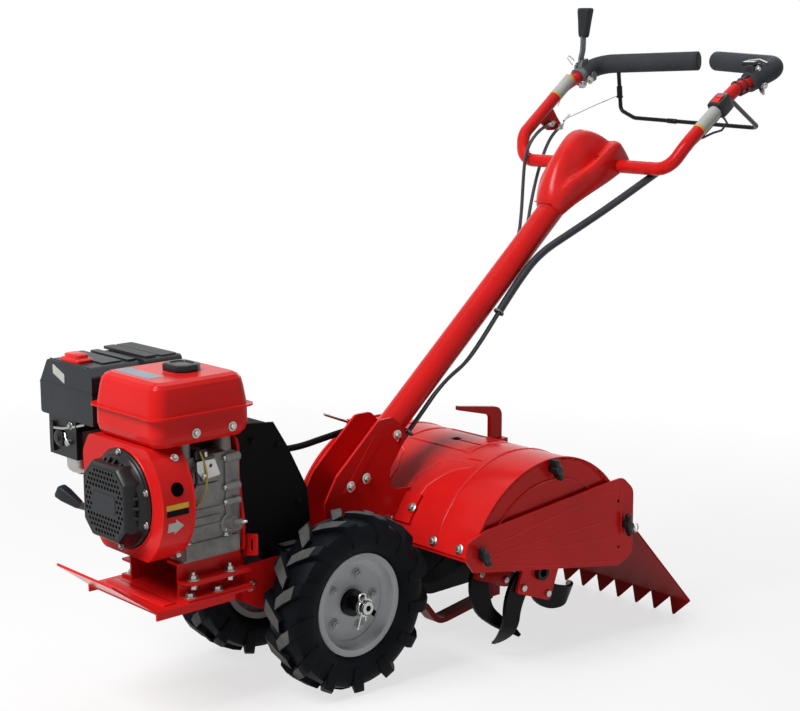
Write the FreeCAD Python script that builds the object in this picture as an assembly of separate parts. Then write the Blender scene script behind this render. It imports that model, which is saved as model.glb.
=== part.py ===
import FreeCAD, Part
import math
import os

os.makedirs("parts", exist_ok=True)

V = FreeCAD.Vector

# Working frame: X forward (towards the engine), Y to the operator's left, Z up, millimetres.
# The engine deck is level in it and its origin is a point AXLE_Z below the wheel axle's middle.
# park() then turns every shape about the axle so that wheels and comb stand on the floor, and
# the export centres the machine lengthwise over the frame's origin.

# ---------------------------------------------------------------- driving dimensions
AXLE_Z = 157.0            # axle height in the working frame
TYRE_R = 157.0            # over the tread lugs
TYRE_WIDTH = 92.0
TYRE_WALL = 9.0
TREAD_DEPTH = 22.0
BEAD_WIDTH = 11.0
RIM_FLANGE_R = 90.0
RIM_SEAT_DEPTH = 8.0
RIM_WELL_DEPTH = 14.0
RIM_WIDTH = 62.0
RIM_SHEET = 3.0
RIM_DISC_OFFSET = 5.0     # disc's inner face, outwards of the wheel's middle
WHEEL_Y = 130.0
AXLE_R = 12.5
AXLE_STUB = 34.0
HUB_R = 22.8
HUB_FLANGE_R = 60.0
HUB_FLANGE_SHEET = 6.0
AXLE_TUBE_R = 22.0
AXLE_TUBE_Y = 84.0

DECK_FRONT_X = 368.0
DECK_REAR_X = 215.0
DECK_TONGUE = 40.0
DECK_HALF_WIDTH = 100.0
DECK_TOP_Z = 216.0
DECK_SHEET = 4.0
DECK_FLANGE_DROP = 14.0
NOSE_LENGTH = 67.0
NOSE_RISE = 54.0
NOSE_HALF_WIDTH = 80.0

RAIL_REAR_X = 40.0
RAIL_FRONT_X = 305.0
RAIL_WEB_Y = 66.0
RAIL_FLANGE = 30.0
RAIL_HEIGHT = 28.0
RAIL_SHEET = 4.0
SIDE_PLATE_Y = 64.0
SIDE_PLATE_SHEET = 4.0

GEAR_CASE_HALF_WIDTH = 40.0
GEAR_CASE_REAR_X = -120.0
GEAR_CASE_TOP_Z = 236.0
TINE_CASE_HALF_WIDTH = 22.0
TINE_CASE_TOP_Z = 204.0
TINE_CASE_END_R = 70.0

CRANK_Z = 380.0
CRANKCASE_X = (184.0, 300.0)
CRANKCASE_HALF_WIDTH = 75.0
CRANKCASE_RIGHT_Y = -61.0
CRANKCASE_TOP_Z = 446.0
CRANKSHAFT_R = 12.5
ENGINE_FOOT_Z = 275.0
FOOT_HEIGHT = 15.0
HEAD_Y = -180.0
BLOWER_R = 112.0
BLOWER_DEPTH = 58.0
BLOWER_SHEET = 2.5
RECOIL_RING_R = 81.0
RECOIL_FACE_HALF = 62.0
RECOIL_DEPTH = 38.0
RECOIL_RIM = 6.0

TANK_X = (160.0, 361.0)
TANK_HALF_WIDTH = 92.0
TANK_SEAM_Z = 521.0
TANK_BOTTOM_Z = 472.0
TANK_TOP_Z = 575.0
TANK_WALL = 2.5
SEAM_LIP = 6.0
CAP_HALF = 26.0
CAP_HEIGHT = 13.0
CLEANER_X = (236.0, 340.0)
CLEANER_Y = (-276.0, -112.0)
CLEANER_BOTTOM_Z = 474.0
CLEANER_TOP_Z = 570.0
GUARD_X = (160.0, 235.6)
GUARD_TOP_Z = 574.0

ROTOR_X = -394.0
ROTOR_Z = 141.0
ROTOR_SHAFT_R = 15.0
SOCKET_R = 8.0
SOCKET_DEPTH = 30.0
TINE_R = 156.0
TINE_THICK = 8.0
TINE_BLADE = 42.0
TINE_TIP_DEG = -54.5
ROTOR_FLANGE_SIDE = 96.0
ROTOR_FLANGE_THICK = 6.0
ROTOR_FLANGE_TURN = -21.0
INNER_FLANGE_Y = 104.0
OUTER_FLANGE_GAP = 28.0   # from the shroud's end to the outer flange's middle

SHROUD_CLEARANCE = 58.0   # tine tips to the shroud's inside
SHROUD_SHEET = 3.0
SHROUD_HALF_WIDTH = 240.0
SHROUD_REAR_DEG = 168.0
END_PLATE_RECESS = 6.0
END_PLATE_BOTTOM_Z = 200.0
SHIELD_SHEET = 3.0
BEAM_HEIGHT = 8.0
BEAM_DEPTH = 37.0
KNOB_R = 14.0
KNOB_LENGTH = 18.0

STAKE_X = -492.0
STAKE_WIDTH = 30.0
STAKE_THICK = 10.0
STAKE_FOOT_Z = 18.0
STAKE_COLLAR = 8.0        # wall of the stake's guides
SKID_HALF_WIDTH = 15.0

COMB_HINGE_STANDOFF = 17.0
COMB_HINGE_DEG = 169.6
COMB_OVERHANG = 3.0       # comb's ends past the shroud's
COMB_SHEET = 4.0
COMB_TEETH = 10
COMB_BEND = (-807.0, -7.0)
COMB_TIP = (-817.0, -48.0)
COMB_TOOTH_POINT = 5.0
HINGE_ROD_R = 5.0
HINGE_BARREL_R = 9.0
HINGE_LUG_SHEET = 6.0

COLUMN_R = 25.0
COLUMN_WALL = 2.5
COLUMN_TAIL = 22.0
COLUMN_PIVOT = (-128.0, 331.0)
COLUMN_SLOPE_DEG = 40.6
COLUMN_SIDE_GAP = 4.0
BRACKET_SHEET = 5.0
PIVOT_BOLT_R = 6.0
SLOT_RADIUS = 98.9        # height bolt's distance from the pivot
SLOT_BOLT_DEG = 44.2      # its direction with the handle at its highest
SLOT_BOLT_R = 5.0
HANDLE_DROP_DEG = 8.0

BAR_R = 13.0
BAR_WALL = 2.0
BAR_ROUTE = [
    (-766.0, 0.0, 856.0), (-766.0, 190.0, 856.0), (-790.0, 214.0, 905.0),
    (-926.0, 221.0, 1005.0), (-1053.0, 234.0, 1049.0), (-1131.0, 25.0, 1057.0),
]
BAR_BENDS = [45.0, 60.0, 120.0, 45.0]
GRIP_R = 20.5
LEFT_GRIP_LEAD = 60.0     # grip's start ahead of the outer bend
RIGHT_GRIP_LEAD = 38.0
CABLE_R = 3.5
BAIL_R = 4.5

# sleeve, bail and cable routes, lever knob heights and console sections
SLEEVE_R = 6.2
SLEEVE_ROUTE = [(50, -46, 398), (-6, -46, 397), (-89, -46, 399), (-130, -46, 402), (-164, -46, 402)]
CABLE_STOP = (-178, -164)
CONSOLE_CROWN = 0.5
CONSOLE_WALL = 2.5
CONSOLE_SECTIONS = [
    (668, -9, 12, 32, 29), (700, -5, 22, 52, 38), (740, -12, 29, 68, 54), (780, -24, 33, 75, 66),
    (820, -34, 36, 73, 74), (846, -38, 34, 63, 75), (868, -34, 12, 46, 50), (890, -24, -4, 16, 26),
]
LEVER_KNOB_Z = (1108.0, 1169.0)
BAIL_ROUTE = [
    (-1012, -222, 1007), (-1052, -207, 1003), (-1068, -178, 943), (-1076, 175, 924), (-925, 217, 982.5),
]
LEFT_CABLE = [
    (-893, 214, 957.4), (-868, 190, 912), (-794, 150, 850), (-715, 106, 790), (-640, 64, 738),
    (-576, 38, 700), (-520, 34, 650), (-468, 35, 597), (-418, 34, 543), (-380, 33, 508),
    (-343, 30, 489), (-310, 26, 462), (-285, 21, 432), (-250, 17, 396), (-210, 15, 355),
    (-172, 13, 318), (-150, 12, 288),
]
RIGHT_SHIFT_CABLE = [
    (-872, -209.5, 926), (-842, -204, 920), (-812, -196, 908), (-765, -174, 888), (-738, -160, 856),
    (-715, -142, 812), (-680, -112, 764), (-640, -80, 722), (-598, -55, 690), (-545, -40, 648),
    (-490, -34, 600), (-430, -32, 548), (-375, -29, 502), (-320, -24, 452), (-265, -18, 405),
    (-215, -16, 360), (-178, -16, 322), (-156, -17, 290),
]
RIGHT_CLUTCH_CABLE = [
    (-900, -209.5, 918), (-869, -202, 905), (-830, -186, 878), (-790, -164, 847), (-738, -130, 812),
    (-690, -98, 768), (-650, -68, 734), (-600, -45, 702), (-545, -31, 656), (-490, -25, 608),
    (-430, -23, 556), (-375, -19, 508), (-320, -14, 460), (-265, -9, 411), (-215, -5, 366),
    (-178, -6, 332), (-160, -8, 300),
]

FIT_GAP = 0.2             # between pieces that are bolted or pushed together
SHAFT_GAP = 0.08          # radial play of shafts and pins in their bores
SLIDE_GAP = 0.5           # play of the stake in its guides

# ---------------------------------------------------------------- derived values
RIM_SEAT_R = RIM_FLANGE_R - RIM_SEAT_DEPTH
RIM_WELL_R = RIM_SEAT_R - RIM_WELL_DEPTH
RIM_DISC_Y = WHEEL_Y + RIM_DISC_OFFSET
RAIL_MID_Z = DECK_TOP_Z + RAIL_HEIGHT
BLOWER_BACK_X = CRANKCASE_X[1] + FIT_GAP
BLOWER_FRONT_X = CRANKCASE_X[1] + BLOWER_DEPTH
BELT_PLATE_X = CRANKCASE_X[0] - 5.0
SHROUD_R = TINE_R + SHROUD_CLEARANCE + SHROUD_SHEET
SHROUD_FLANGE_Z = TINE_CASE_TOP_Z + BEAM_HEIGHT
SHROUD_FRONT_DEG = math.degrees(math.asin((SHROUD_FLANGE_Z - ROTOR_Z) / SHROUD_R))
SHIELD_Y = SHROUD_HALF_WIDTH + FIT_GAP
END_PLATE_Y = SHROUD_HALF_WIDTH - END_PLATE_RECESS
OUTER_FLANGE_Y = SHROUD_HALF_WIDTH - OUTER_FLANGE_GAP
COMB_HALF_WIDTH = SHROUD_HALF_WIDTH + COMB_OVERHANG
BRACKET_HALF_GAP = COLUMN_R + COLUMN_SIDE_GAP
BRACKET_OUT_Y = BRACKET_HALF_GAP + BRACKET_SHEET


# ---------------------------------------------------------------- small builders
def box(x0, x1, y0, y1, z0, z1):
    """Box between two corners."""
    return Part.makeBox(x1 - x0, y1 - y0, z1 - z0, V(x0, y0, z0))


def cylinder(p, axis, radius, length):
    """Solid cylinder from p along axis."""
    return Part.makeCylinder(radius, length, V(*p), V(*axis))


def tube(p, axis, radius, bore, length):
    """Open tube from p along axis."""
    return cylinder(p, axis, radius, length).cut(cylinder(p, axis, bore, length))


def rounded_wire(corners, place):
    """Closed wire through corners (a, b, radius); place turns (a, b) into a vector."""
    count = len(corners)
    edges = []
    starts = []
    ends = []
    for i in range(count):
        a, b, radius = corners[i]
        here = V(a, b, 0)
        before = V(corners[i - 1][0], corners[i - 1][1], 0)
        after = V(corners[(i + 1) % count][0], corners[(i + 1) % count][1], 0)
        u = (before - here).normalize()
        w = (after - here).normalize()
        if radius <= 0:
            starts.append(here)
            ends.append(here)
            continue
        half = math.acos(max(-1.0, min(1.0, u.dot(w)))) / 2
        reach = radius / math.tan(half)
        first = here + u * reach
        last = here + w * reach
        bisector = (u + w).normalize()
        centre = here + bisector * (radius / math.sin(half))
        middle = centre - bisector * radius
        starts.append(first)
        ends.append(last)
        edges.append(Part.Arc(place(first), place(middle), place(last)).toShape())
    for i in range(count):
        gap = starts[(i + 1) % count] - ends[i]
        if gap.Length > 1e-6:
            line = Part.LineSegment(place(ends[i]), place(starts[(i + 1) % count]))
            edges.append(line.toShape())
    return Part.Wire(Part.__sortEdges__(edges))


def plate_xz(corners, y0, y1):
    """Prism between y0 and y1 whose side view has the given (x, z, radius) corners."""
    wire = rounded_wire(corners, lambda p: V(p.x, y0, p.y))
    return Part.Face(wire).extrude(V(0, y1 - y0, 0))


def plate_yz(corners, x0, x1):
    """Prism between x0 and x1 whose front view has the given (y, z, radius) corners."""
    wire = rounded_wire(corners, lambda p: V(x0, p.x, p.y))
    return Part.Face(wire).extrude(V(x1 - x0, 0, 0))


def plate_xy(corners, z0, z1):
    """Prism between z0 and z1 whose plan has the given (x, y, radius) corners."""
    wire = rounded_wire(corners, lambda p: V(p.x, p.y, z0))
    return Part.Face(wire).extrude(V(0, 0, z1 - z0))


def turned_y(profile, x, z):
    """Solid of revolution about the Y line through (x, z) from (y, radius) points."""
    points = [V(x, y, z + r) for y, r in profile]
    points.append(points[0])
    face = Part.Face(Part.makePolygon(points))
    return face.revolve(V(x, 0, z), V(0, 1, 0), 360)


def bent_path(points, radii):
    """Wire of straight runs joined by tangent arcs; radii has one value per inner point."""
    edges = []
    start = points[0]
    for i in range(1, len(points) - 1):
        here = points[i]
        u = (points[i - 1] - here).normalize()
        w = (points[i + 1] - here).normalize()
        half = math.acos(max(-1.0, min(1.0, u.dot(w)))) / 2
        reach = radii[i - 1] / math.tan(half)
        bisector = (u + w).normalize()
        centre = here + bisector * (radii[i - 1] / math.sin(half))
        first = here + u * reach
        last = here + w * reach
        edges.append(Part.LineSegment(start, first).toShape())
        edges.append(Part.Arc(first, centre - bisector * radii[i - 1], last).toShape())
        start = last
    edges.append(Part.LineSegment(start, points[-1]).toShape())
    return Part.Wire(edges)


def rod_along(points, radii, radius):
    """Round rod along a bent path."""
    path = bent_path(points, radii)
    start = points[0]
    direction = points[1] - points[0]
    ring = Part.Wire(Part.makeCircle(radius, start, direction))
    return path.makePipeShell([ring], True, True)


def run_radii(points):
    """Arc radius at each inner point of a cable: 0.45 of the shorter run over tan(half turn)."""
    radii = []
    for i in range(1, len(points) - 1):
        u = points[i] - points[i - 1]
        w = points[i + 1] - points[i]
        turn = u.getAngle(w)
        radii.append(0.45 * min(u.Length, w.Length) / math.tan(turn / 2))
    return radii


def mirrored(shape):
    """The same piece on the other side of the machine."""
    return shape.mirror(V(0, 0, 0), V(0, 1, 0))


def fused(shapes):
    """One solid from touching or overlapping ones."""
    body = shapes[0]
    for other in shapes[1:]:
        body = body.fuse(other)
    return body.removeSplitter()


def loose(shapes):
    """Separate solids that share one node."""
    return Part.makeCompound(shapes)


# ---------------------------------------------------------------- parked attitude
def parked_height(x, z, angle):
    """Height above the floor of the point (x, z) after turning by angle about the axle."""
    a = math.radians(angle)
    return TYRE_R - x * math.sin(a) + (z - AXLE_Z) * math.cos(a)


def park_angle():
    """Nose-down angle in degrees that puts the comb's tips on the floor with the tyres."""
    low = 0.0
    high = 10.0
    for _ in range(60):
        angle = (low + high) / 2
        if parked_height(COMB_TIP[0], COMB_TIP[1], angle) > 0:
            high = angle
        else:
            low = angle
    return (low + high) / 2


PARK_DEG = park_angle()


def park(shape):
    """Turn a shape from the level working frame to the parked attitude."""
    turned = shape.copy()
    turned.rotate(V(0, 0, AXLE_Z), V(0, 1, 0), PARK_DEG)
    turned.translate(V(0, 0, TYRE_R - AXLE_Z))
    return turned


# ---------------------------------------------------------------- wheels
def tyre(side):
    """Hollow tyre: crown, shoulders and sidewalls down to the rim's bead seats."""
    h = TYRE_WIDTH / 2
    t = TYRE_WALL
    seat = RIM_SEAT_R + FIT_GAP
    face = RIM_WIDTH / 2 - RIM_SHEET - FIT_GAP
    crown = TYRE_R - TREAD_DEPTH
    outer = [
        (face, seat), (face, RIM_FLANGE_R + 1), (h - 5, RIM_FLANGE_R + 6),
        (h, RIM_FLANGE_R + 22), (h - 1, crown), (h - 10, TYRE_R - 6), (h - 20, TYRE_R),
    ]
    inner = [
        (h - 24, crown), (h - t - 1, crown - 6), (h - t, RIM_FLANGE_R + 24),
        (face - BEAD_WIDTH, seat + 12), (face - BEAD_WIDTH, seat),
    ]
    ring = outer + [(-y, r) for y, r in reversed(outer)]
    ring += [(-y, r) for y, r in reversed(inner)] + inner
    return turned_y([(side * (WHEEL_Y + y), r) for y, r in ring], 0, AXLE_Z)


def rim(side):
    """Pressed rim: two flanges, a barrel with a well, and the disc bolted to the hub."""
    h = RIM_WIDTH / 2
    s = RIM_SHEET
    seat = RIM_SEAT_R
    well = RIM_WELL_R
    d = RIM_DISC_OFFSET
    outer_face = [
        (-h, RIM_FLANGE_R), (-h + s, RIM_FLANGE_R), (-h + s, seat), (-h + 14, seat),
        (-h + 20, well), (h - 20, well), (h - 14, seat), (h - s, seat),
        (h - s, RIM_FLANGE_R), (h, RIM_FLANGE_R), (h, seat - s), (h - 14 - s, seat - s),
        (h - 20 - s, well - s),
    ]
    disc = [(d + s, well - s), (d + s, HUB_R + FIT_GAP), (d, HUB_R + FIT_GAP), (d, well - s)]
    inner_face = [(-h + 20 + s, well - s), (-h + 14 + s, seat - s), (-h, seat - s)]
    profile = outer_face + disc + inner_face
    return turned_y([(side * (WHEEL_Y + y), r) for y, r in profile], 0, AXLE_Z)


def half_shaft(side):
    """Wheel shaft with its hub, the hub flange behind the rim's disc and the outer end."""
    inner_y = 16.0
    hub_start = AXLE_TUBE_Y + 8
    hub_end = RIM_DISC_Y + RIM_SHEET + 12
    shaft = cylinder((0, inner_y, AXLE_Z), (0, 1, 0), AXLE_R, hub_end + AXLE_STUB - inner_y)
    hub = cylinder((0, hub_start, AXLE_Z), (0, 1, 0), HUB_R, hub_end - hub_start)
    flange_start = RIM_DISC_Y - HUB_FLANGE_SHEET
    flange = cylinder((0, flange_start, AXLE_Z), (0, 1, 0), HUB_FLANGE_R, HUB_FLANGE_SHEET)
    body = fused([shaft, hub, flange])
    return body if side > 0 else mirrored(body)


# ---------------------------------------------------------------- deck and frame
def deck():
    """Engine deck: top sheet, turned-down side flanges and the raised, tapering nose."""
    top = DECK_TOP_Z
    t = DECK_SHEET
    w = DECK_HALF_WIDTH
    pieces = [box(DECK_REAR_X - DECK_TONGUE, DECK_FRONT_X, -w, w, top - t, top)]
    for y0 in (-w, w - t):
        pieces.append(box(DECK_REAR_X, DECK_FRONT_X, y0, y0 + t, top - DECK_FLANGE_DROP, top - t / 2))
    slope = math.hypot(NOSE_LENGTH, NOSE_RISE)
    tip_x = DECK_FRONT_X + NOSE_LENGTH
    tip_z = top + NOSE_RISE
    side = [
        (DECK_FRONT_X - 3, top, 0), (tip_x, tip_z, 0),
        (tip_x + t * NOSE_RISE / slope, tip_z - t * NOSE_LENGTH / slope, 0),
        (DECK_FRONT_X - 3, top - t, 0),
    ]
    plan = [
        (DECK_FRONT_X - 5, -w, 0), (tip_x + 5, -NOSE_HALF_WIDTH, 0),
        (tip_x + 5, NOSE_HALF_WIDTH, 0), (DECK_FRONT_X - 5, w, 0),
    ]
    nose = plate_xz(side, -w, w).common(plate_xy(plan, top - t, tip_z + t))
    return fused(pieces + [nose])


def rails():
    """Left and right engine rails: a channel on the deck and a Z section up to the foot."""
    web = RAIL_WEB_Y
    t = RAIL_SHEET
    out = web + RAIL_FLANGE
    base = DECK_TOP_Z
    mid = RAIL_MID_Z
    low_rear = DECK_REAR_X - DECK_TONGUE
    rear = CRANKCASE_X[0] - 4
    front = CRANKCASE_X[1] + 6
    left = fused([
        box(RAIL_REAR_X, RAIL_FRONT_X, web, web + t, base, mid),
        box(low_rear, RAIL_FRONT_X, web, out, base, base + t),
        box(low_rear, RAIL_FRONT_X - 8, web, out - 4, mid - t, mid),
        box(rear, front, web, out - 4, mid, mid + t),
        box(rear, front, web, web + t, mid, ENGINE_FOOT_Z),
        box(rear, front, web - 26, web + t, ENGINE_FOOT_Z - t, ENGINE_FOOT_Z),
    ])
    return loose([left, mirrored(left)])


def frame_sides():
    """Side plates from the deck back to the axle tubes, joggled inwards past the tyres."""
    t = SIDE_PLATE_SHEET
    inner = SIDE_PLATE_Y
    low_rear = DECK_REAR_X - DECK_TONGUE
    plan = [
        (DECK_REAR_X, DECK_HALF_WIDTH, 0), (DECK_REAR_X, DECK_HALF_WIDTH - t, 0),
        (low_rear, inner, 0), (-40, inner, 0), (-40, inner + t, 0), (low_rear + 2, inner + t, 0),
    ]
    under = DECK_TOP_Z - DECK_SHEET
    side = [
        (DECK_REAR_X, under, 0), (low_rear - 1, under, 0), (low_rear - 1, DECK_TOP_Z, 0),
        (60, DECK_TOP_Z, 0), (-40, AXLE_Z + 48, 20), (-40, AXLE_Z - 37, 20),
        (80, AXLE_Z - 29, 0), (DECK_REAR_X, DECK_TOP_Z - DECK_FLANGE_DROP, 0),
    ]
    plate = plate_xy(plan, 90, 300).common(plate_xz(side, 0, 150))
    hole = cylinder((0, 0, AXLE_Z), (0, 1, 0), AXLE_TUBE_R + FIT_GAP, 150)
    plate = plate.cut(hole)
    return loose([plate, mirrored(plate)])


def transmission():
    """Gear case between the wheels with its axle tubes and the shelves under the rails."""
    w = GEAR_CASE_HALF_WIDTH
    top = GEAR_CASE_TOP_Z
    rear = GEAR_CASE_REAR_X
    side = [
        (70, 247, 6), (70, 150, 20), (35, 105, 20), (-40, 100, 20), (rear, 118, 14),
        (rear, top, 0), (-28, top, 0), (-28, 258, 8), (20, 258, 8), (30, 247, 4),
    ]
    body = plate_xz(side, -w, w)
    tubes = cylinder((0, -AXLE_TUBE_Y, AXLE_Z), (0, 1, 0), AXLE_TUBE_R, 2 * AXLE_TUBE_Y)
    bore = cylinder((0, -AXLE_TUBE_Y - 6, AXLE_Z), (0, 1, 0), AXLE_R + SHAFT_GAP, 2 * AXLE_TUBE_Y + 12)
    shelf = box(RAIL_REAR_X, 68, w - 1, RAIL_WEB_Y, DECK_TOP_Z + 6, RAIL_MID_Z - 1)
    neck = cylinder((69, 0, 205), (1, 0, 0), 30, 30)
    return fused([body, tubes, shelf, mirrored(shelf), neck]).cut(bore)


def tine_case():
    """Chain case from the gear case back to the rotor, with the stake's lower guide."""
    w = TINE_CASE_HALF_WIDTH
    top = TINE_CASE_TOP_Z
    front = GEAR_CASE_REAR_X
    end_r = TINE_CASE_END_R
    side = [
        (front, top, 0), (front, 134, 0), (-300, ROTOR_Z - end_r, 60),
        (ROTOR_X - 30, ROTOR_Z - end_r, 40), (ROTOR_X - end_r, ROTOR_Z - 20, 40),
        (ROTOR_X - 56, ROTOR_Z + 52, 40), (-330, top, 40),
    ]
    body = plate_xz(side, -w, w)
    boss = cylinder((ROTOR_X, -w - 10, ROTOR_Z), (0, 1, 0), 34, 2 * w + 20)
    bore = cylinder((ROTOR_X, -2 * w - 20, ROTOR_Z), (0, 1, 0), ROTOR_SHAFT_R + SHAFT_GAP, 4 * w + 40)
    guide = stake_guide(ROTOR_Z - 35, ROTOR_Z + 5, ROTOR_X - end_r + 8)
    return fused([body, boss, guide]).cut(bore)


def stake_guide(z0, z1, front_x):
    """Box guide around the depth stake between two heights, reaching forward to front_x."""
    half_x = STAKE_WIDTH / 2 + SLIDE_GAP
    half_y = STAKE_THICK / 2 + SLIDE_GAP
    wall = STAKE_COLLAR
    block = box(STAKE_X - half_x - wall, front_x, -half_y - wall, half_y + wall, z0, z1)
    way = box(STAKE_X - half_x, STAKE_X + half_x, -half_y, half_y, z0 - 1, z1 + 1)
    return block.cut(way)


# ---------------------------------------------------------------- engine
def crankcase():
    """Crankcase block with its mounting foot, output shaft and the posts under the tank."""
    x0, x1 = CRANKCASE_X
    w = CRANKCASE_HALF_WIDTH
    base = ENGINE_FOOT_Z + 10
    top = CRANKCASE_TOP_Z
    block = plate_xz([(x0, base, 8), (x1, base, 8), (x1, top, 14), (x0, top, 14)], CRANKCASE_RIGHT_Y, w)
    foot = box(x0 + 4, x1 - 4, -w, w, ENGINE_FOOT_Z, ENGINE_FOOT_Z + FOOT_HEIGHT)
    shaft = cylinder((x0 - 66, 0, CRANK_Z), (1, 0, 0), CRANKSHAFT_R, 70)
    posts = [cylinder((x, 48, top - 6), (0, 0, 1), 9, TANK_BOTTOM_Z - top + 6) for x in (x0 + 20, x1 - 16)]
    return fused([block, foot, shaft] + posts)


def cylinder_block():
    """Slanted finned cylinder and head on the right of the crankcase."""
    x0, x1 = CRANKCASE_X
    side_y = CRANKCASE_RIGHT_Y
    top = CRANKCASE_TOP_Z
    outline = [
        (side_y, CRANK_Z - 50, 0), (side_y, top, 0), (HEAD_Y, top, 8),
        (HEAD_Y, CRANK_Z - 28, 8), (HEAD_Y + 40, CRANK_Z - 58, 8),
    ]
    return plate_yz(outline, x0 + 8, x1 - 12)


def blower_shape(x0, x1, inset):
    """Solid outline of the fan housing: drum plus the duct to the cylinder, cut flat below."""
    r = BLOWER_R - inset
    drum = cylinder((x0, 0, CRANK_Z), (1, 0, 0), r, x1 - x0)
    duct = plate_yz([
        (0, CRANK_Z + r, 0), (-40, CRANK_Z + 98 - inset, 20), (-108 + inset, CRANK_Z + 86 - inset, 14),
        (-150 + inset, CRANK_Z + 50, 20), (-136 + inset, CRANK_Z - 35 + inset, 20),
        (-60, CRANK_Z - r + 12, 20), (0, CRANK_Z - r + 4, 0),
    ], x0, x1)
    floor = box(x0 - 1, x1 + 1, -200, 200, 0, ENGINE_FOOT_Z + 2 + inset)
    under_tank = box(x0 - 1, x1 + 1, -200, 200, TANK_BOTTOM_Z - FIT_GAP - inset, TANK_TOP_Z)
    return drum.fuse(duct).removeSplitter().cut(floor).cut(under_tank)


def blower_housing():
    """Hollow sheet fan housing on the crankcase's front face."""
    t = BLOWER_SHEET
    skin = blower_shape(BLOWER_BACK_X, BLOWER_FRONT_X, 0)
    hollow = blower_shape(BLOWER_BACK_X + t, BLOWER_FRONT_X - t, t)
    mouth = cylinder((BLOWER_FRONT_X - 10, 0, CRANK_Z), (1, 0, 0), RECOIL_RING_R - 8, 20)
    back_hole = cylinder((BLOWER_BACK_X - 1, 0, CRANK_Z), (1, 0, 0), 50, 10)
    return skin.cut(hollow).cut(mouth).cut(back_hole)


def recoil():
    """Recoil starter: ring flange and the raised eight-sided grille."""
    x = BLOWER_FRONT_X
    f = RECOIL_FACE_HALF
    c = 22.0
    ring = cylinder((x, 0, CRANK_Z), (1, 0, 0), RECOIL_RING_R, RECOIL_RIM)
    face = plate_yz([
        (-f + c, CRANK_Z - f, 8), (f - c, CRANK_Z - f, 8), (f, CRANK_Z - f + c, 8),
        (f, CRANK_Z + f - c, 8), (f - c, CRANK_Z + f, 8), (-f + c, CRANK_Z + f, 8),
        (-f, CRANK_Z + f - c, 8), (-f, CRANK_Z - f + c, 8),
    ], x + RECOIL_RIM - 1, x + RECOIL_DEPTH)
    hollow = cylinder((x - 1, 0, CRANK_Z), (1, 0, 0), f - 5, RECOIL_DEPTH - 2)
    return fused([ring, face]).cut(hollow)


def starter_handle():
    """Pull handle parked in its holder beside the recoil grille."""
    x = BLOWER_FRONT_X + 20
    y = -RECOIL_FACE_HALF
    z = CRANK_Z - 20
    arm = rod_along([V(x, y, z), V(x, y - 26, z), V(x + 4, y - 52, z + 3)], [14], 7)
    grip = box(x - 2, x + 20, y - 74, y - 50, z - 12, z + 20)
    grip = grip.makeFillet(5, grip.Edges)
    return fused([arm, grip])


def tank_shell(inset):
    """Tank body without its seam lip, drawn in by inset on every side."""
    x0 = TANK_X[0] + SEAM_LIP + inset
    x1 = TANK_X[1] - SEAM_LIP - inset
    w = TANK_HALF_WIDTH - inset

    def ring(step, z, radius):
        a0 = x0 + step
        a1 = x1 - step
        b = w - step
        corners = [(a0, -b, radius), (a1, -b, radius), (a1, b, radius), (a0, b, radius)]
        return rounded_wire(corners, lambda p: V(p.x, p.y, z))

    low = [
        ring(10, TANK_BOTTOM_Z + inset, 18), ring(3, TANK_BOTTOM_Z + 8, 22),
        ring(0, TANK_BOTTOM_Z + 18, 24), ring(0, TANK_SEAM_Z, 24),
    ]
    high = [
        ring(0, TANK_SEAM_Z, 24), ring(4, TANK_TOP_Z - 22, 24), ring(7, TANK_TOP_Z - 10, 22),
        ring(12, TANK_TOP_Z - 4, 18), ring(20, TANK_TOP_Z - inset, 12),
    ]
    return Part.makeLoft(low, True, True).fuse(Part.makeLoft(high, True, True))


def fuel_tank():
    """Hollow fuel tank of two pressings with a seam lip."""
    x0, x1 = TANK_X
    w = TANK_HALF_WIDTH + SEAM_LIP
    corners = [(x0, -w, 21), (x1, -w, 21), (x1, w, 21), (x0, w, 21)]
    lip = plate_xy(corners, TANK_SEAM_Z - 1.5, TANK_SEAM_Z + 1.5)
    body = tank_shell(0).fuse(lip).cut(tank_shell(TANK_WALL))
    return body.removeSplitter()


def fuel_cap():
    """Square-shouldered screw cap on the tank's top."""
    s = CAP_HALF
    x = 245.0
    y = 8.0
    corners = [(x - s, y - s, 9), (x + s, y - s, 9), (x + s, y + s, 9), (x - s, y + s, 9)]
    return plate_xy(corners, TANK_TOP_Z, TANK_TOP_Z + CAP_HEIGHT)


def cleaner_outline(inset):
    """Front view of the air cleaner case, drawn in by inset."""
    y0 = CLEANER_Y[0] + inset
    y1 = CLEANER_Y[1] - inset
    low = CLEANER_BOTTOM_Z + inset
    top = CLEANER_TOP_Z - inset
    return [
        (y1, low, 4), (y0, low, 6), (y0, top - 42, 6), (y0 + 26, top, 10), (y1 - 16, top, 8), (y1, top - 14, 6),
    ]


def air_cleaner():
    """Hollow air cleaner case on the engine's right front."""
    x0, x1 = CLEANER_X
    case = plate_yz(cleaner_outline(0), x0, x1)
    return case.cut(plate_yz(cleaner_outline(3), x0 + 3, x1 - 3))


def cleaner_knob():
    """Wing knob on the air cleaner's lid."""
    corners = [(300, -222, 8), (330, -222, 8), (330, -172, 8), (300, -172, 8)]
    return plate_xy(corners, CLEANER_TOP_Z, CLEANER_TOP_Z + 10)


def carburettor():
    """Carburettor body and float bowl between cylinder head and air cleaner."""
    low = CLEANER_BOTTOM_Z - 50
    body = box(250, 330, -240, HEAD_Y, low, CLEANER_BOTTOM_Z)
    bowl = cylinder((306, -212, low - 26), (0, 0, 1), 22, 26.5)
    return fused([body, bowl])


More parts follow.
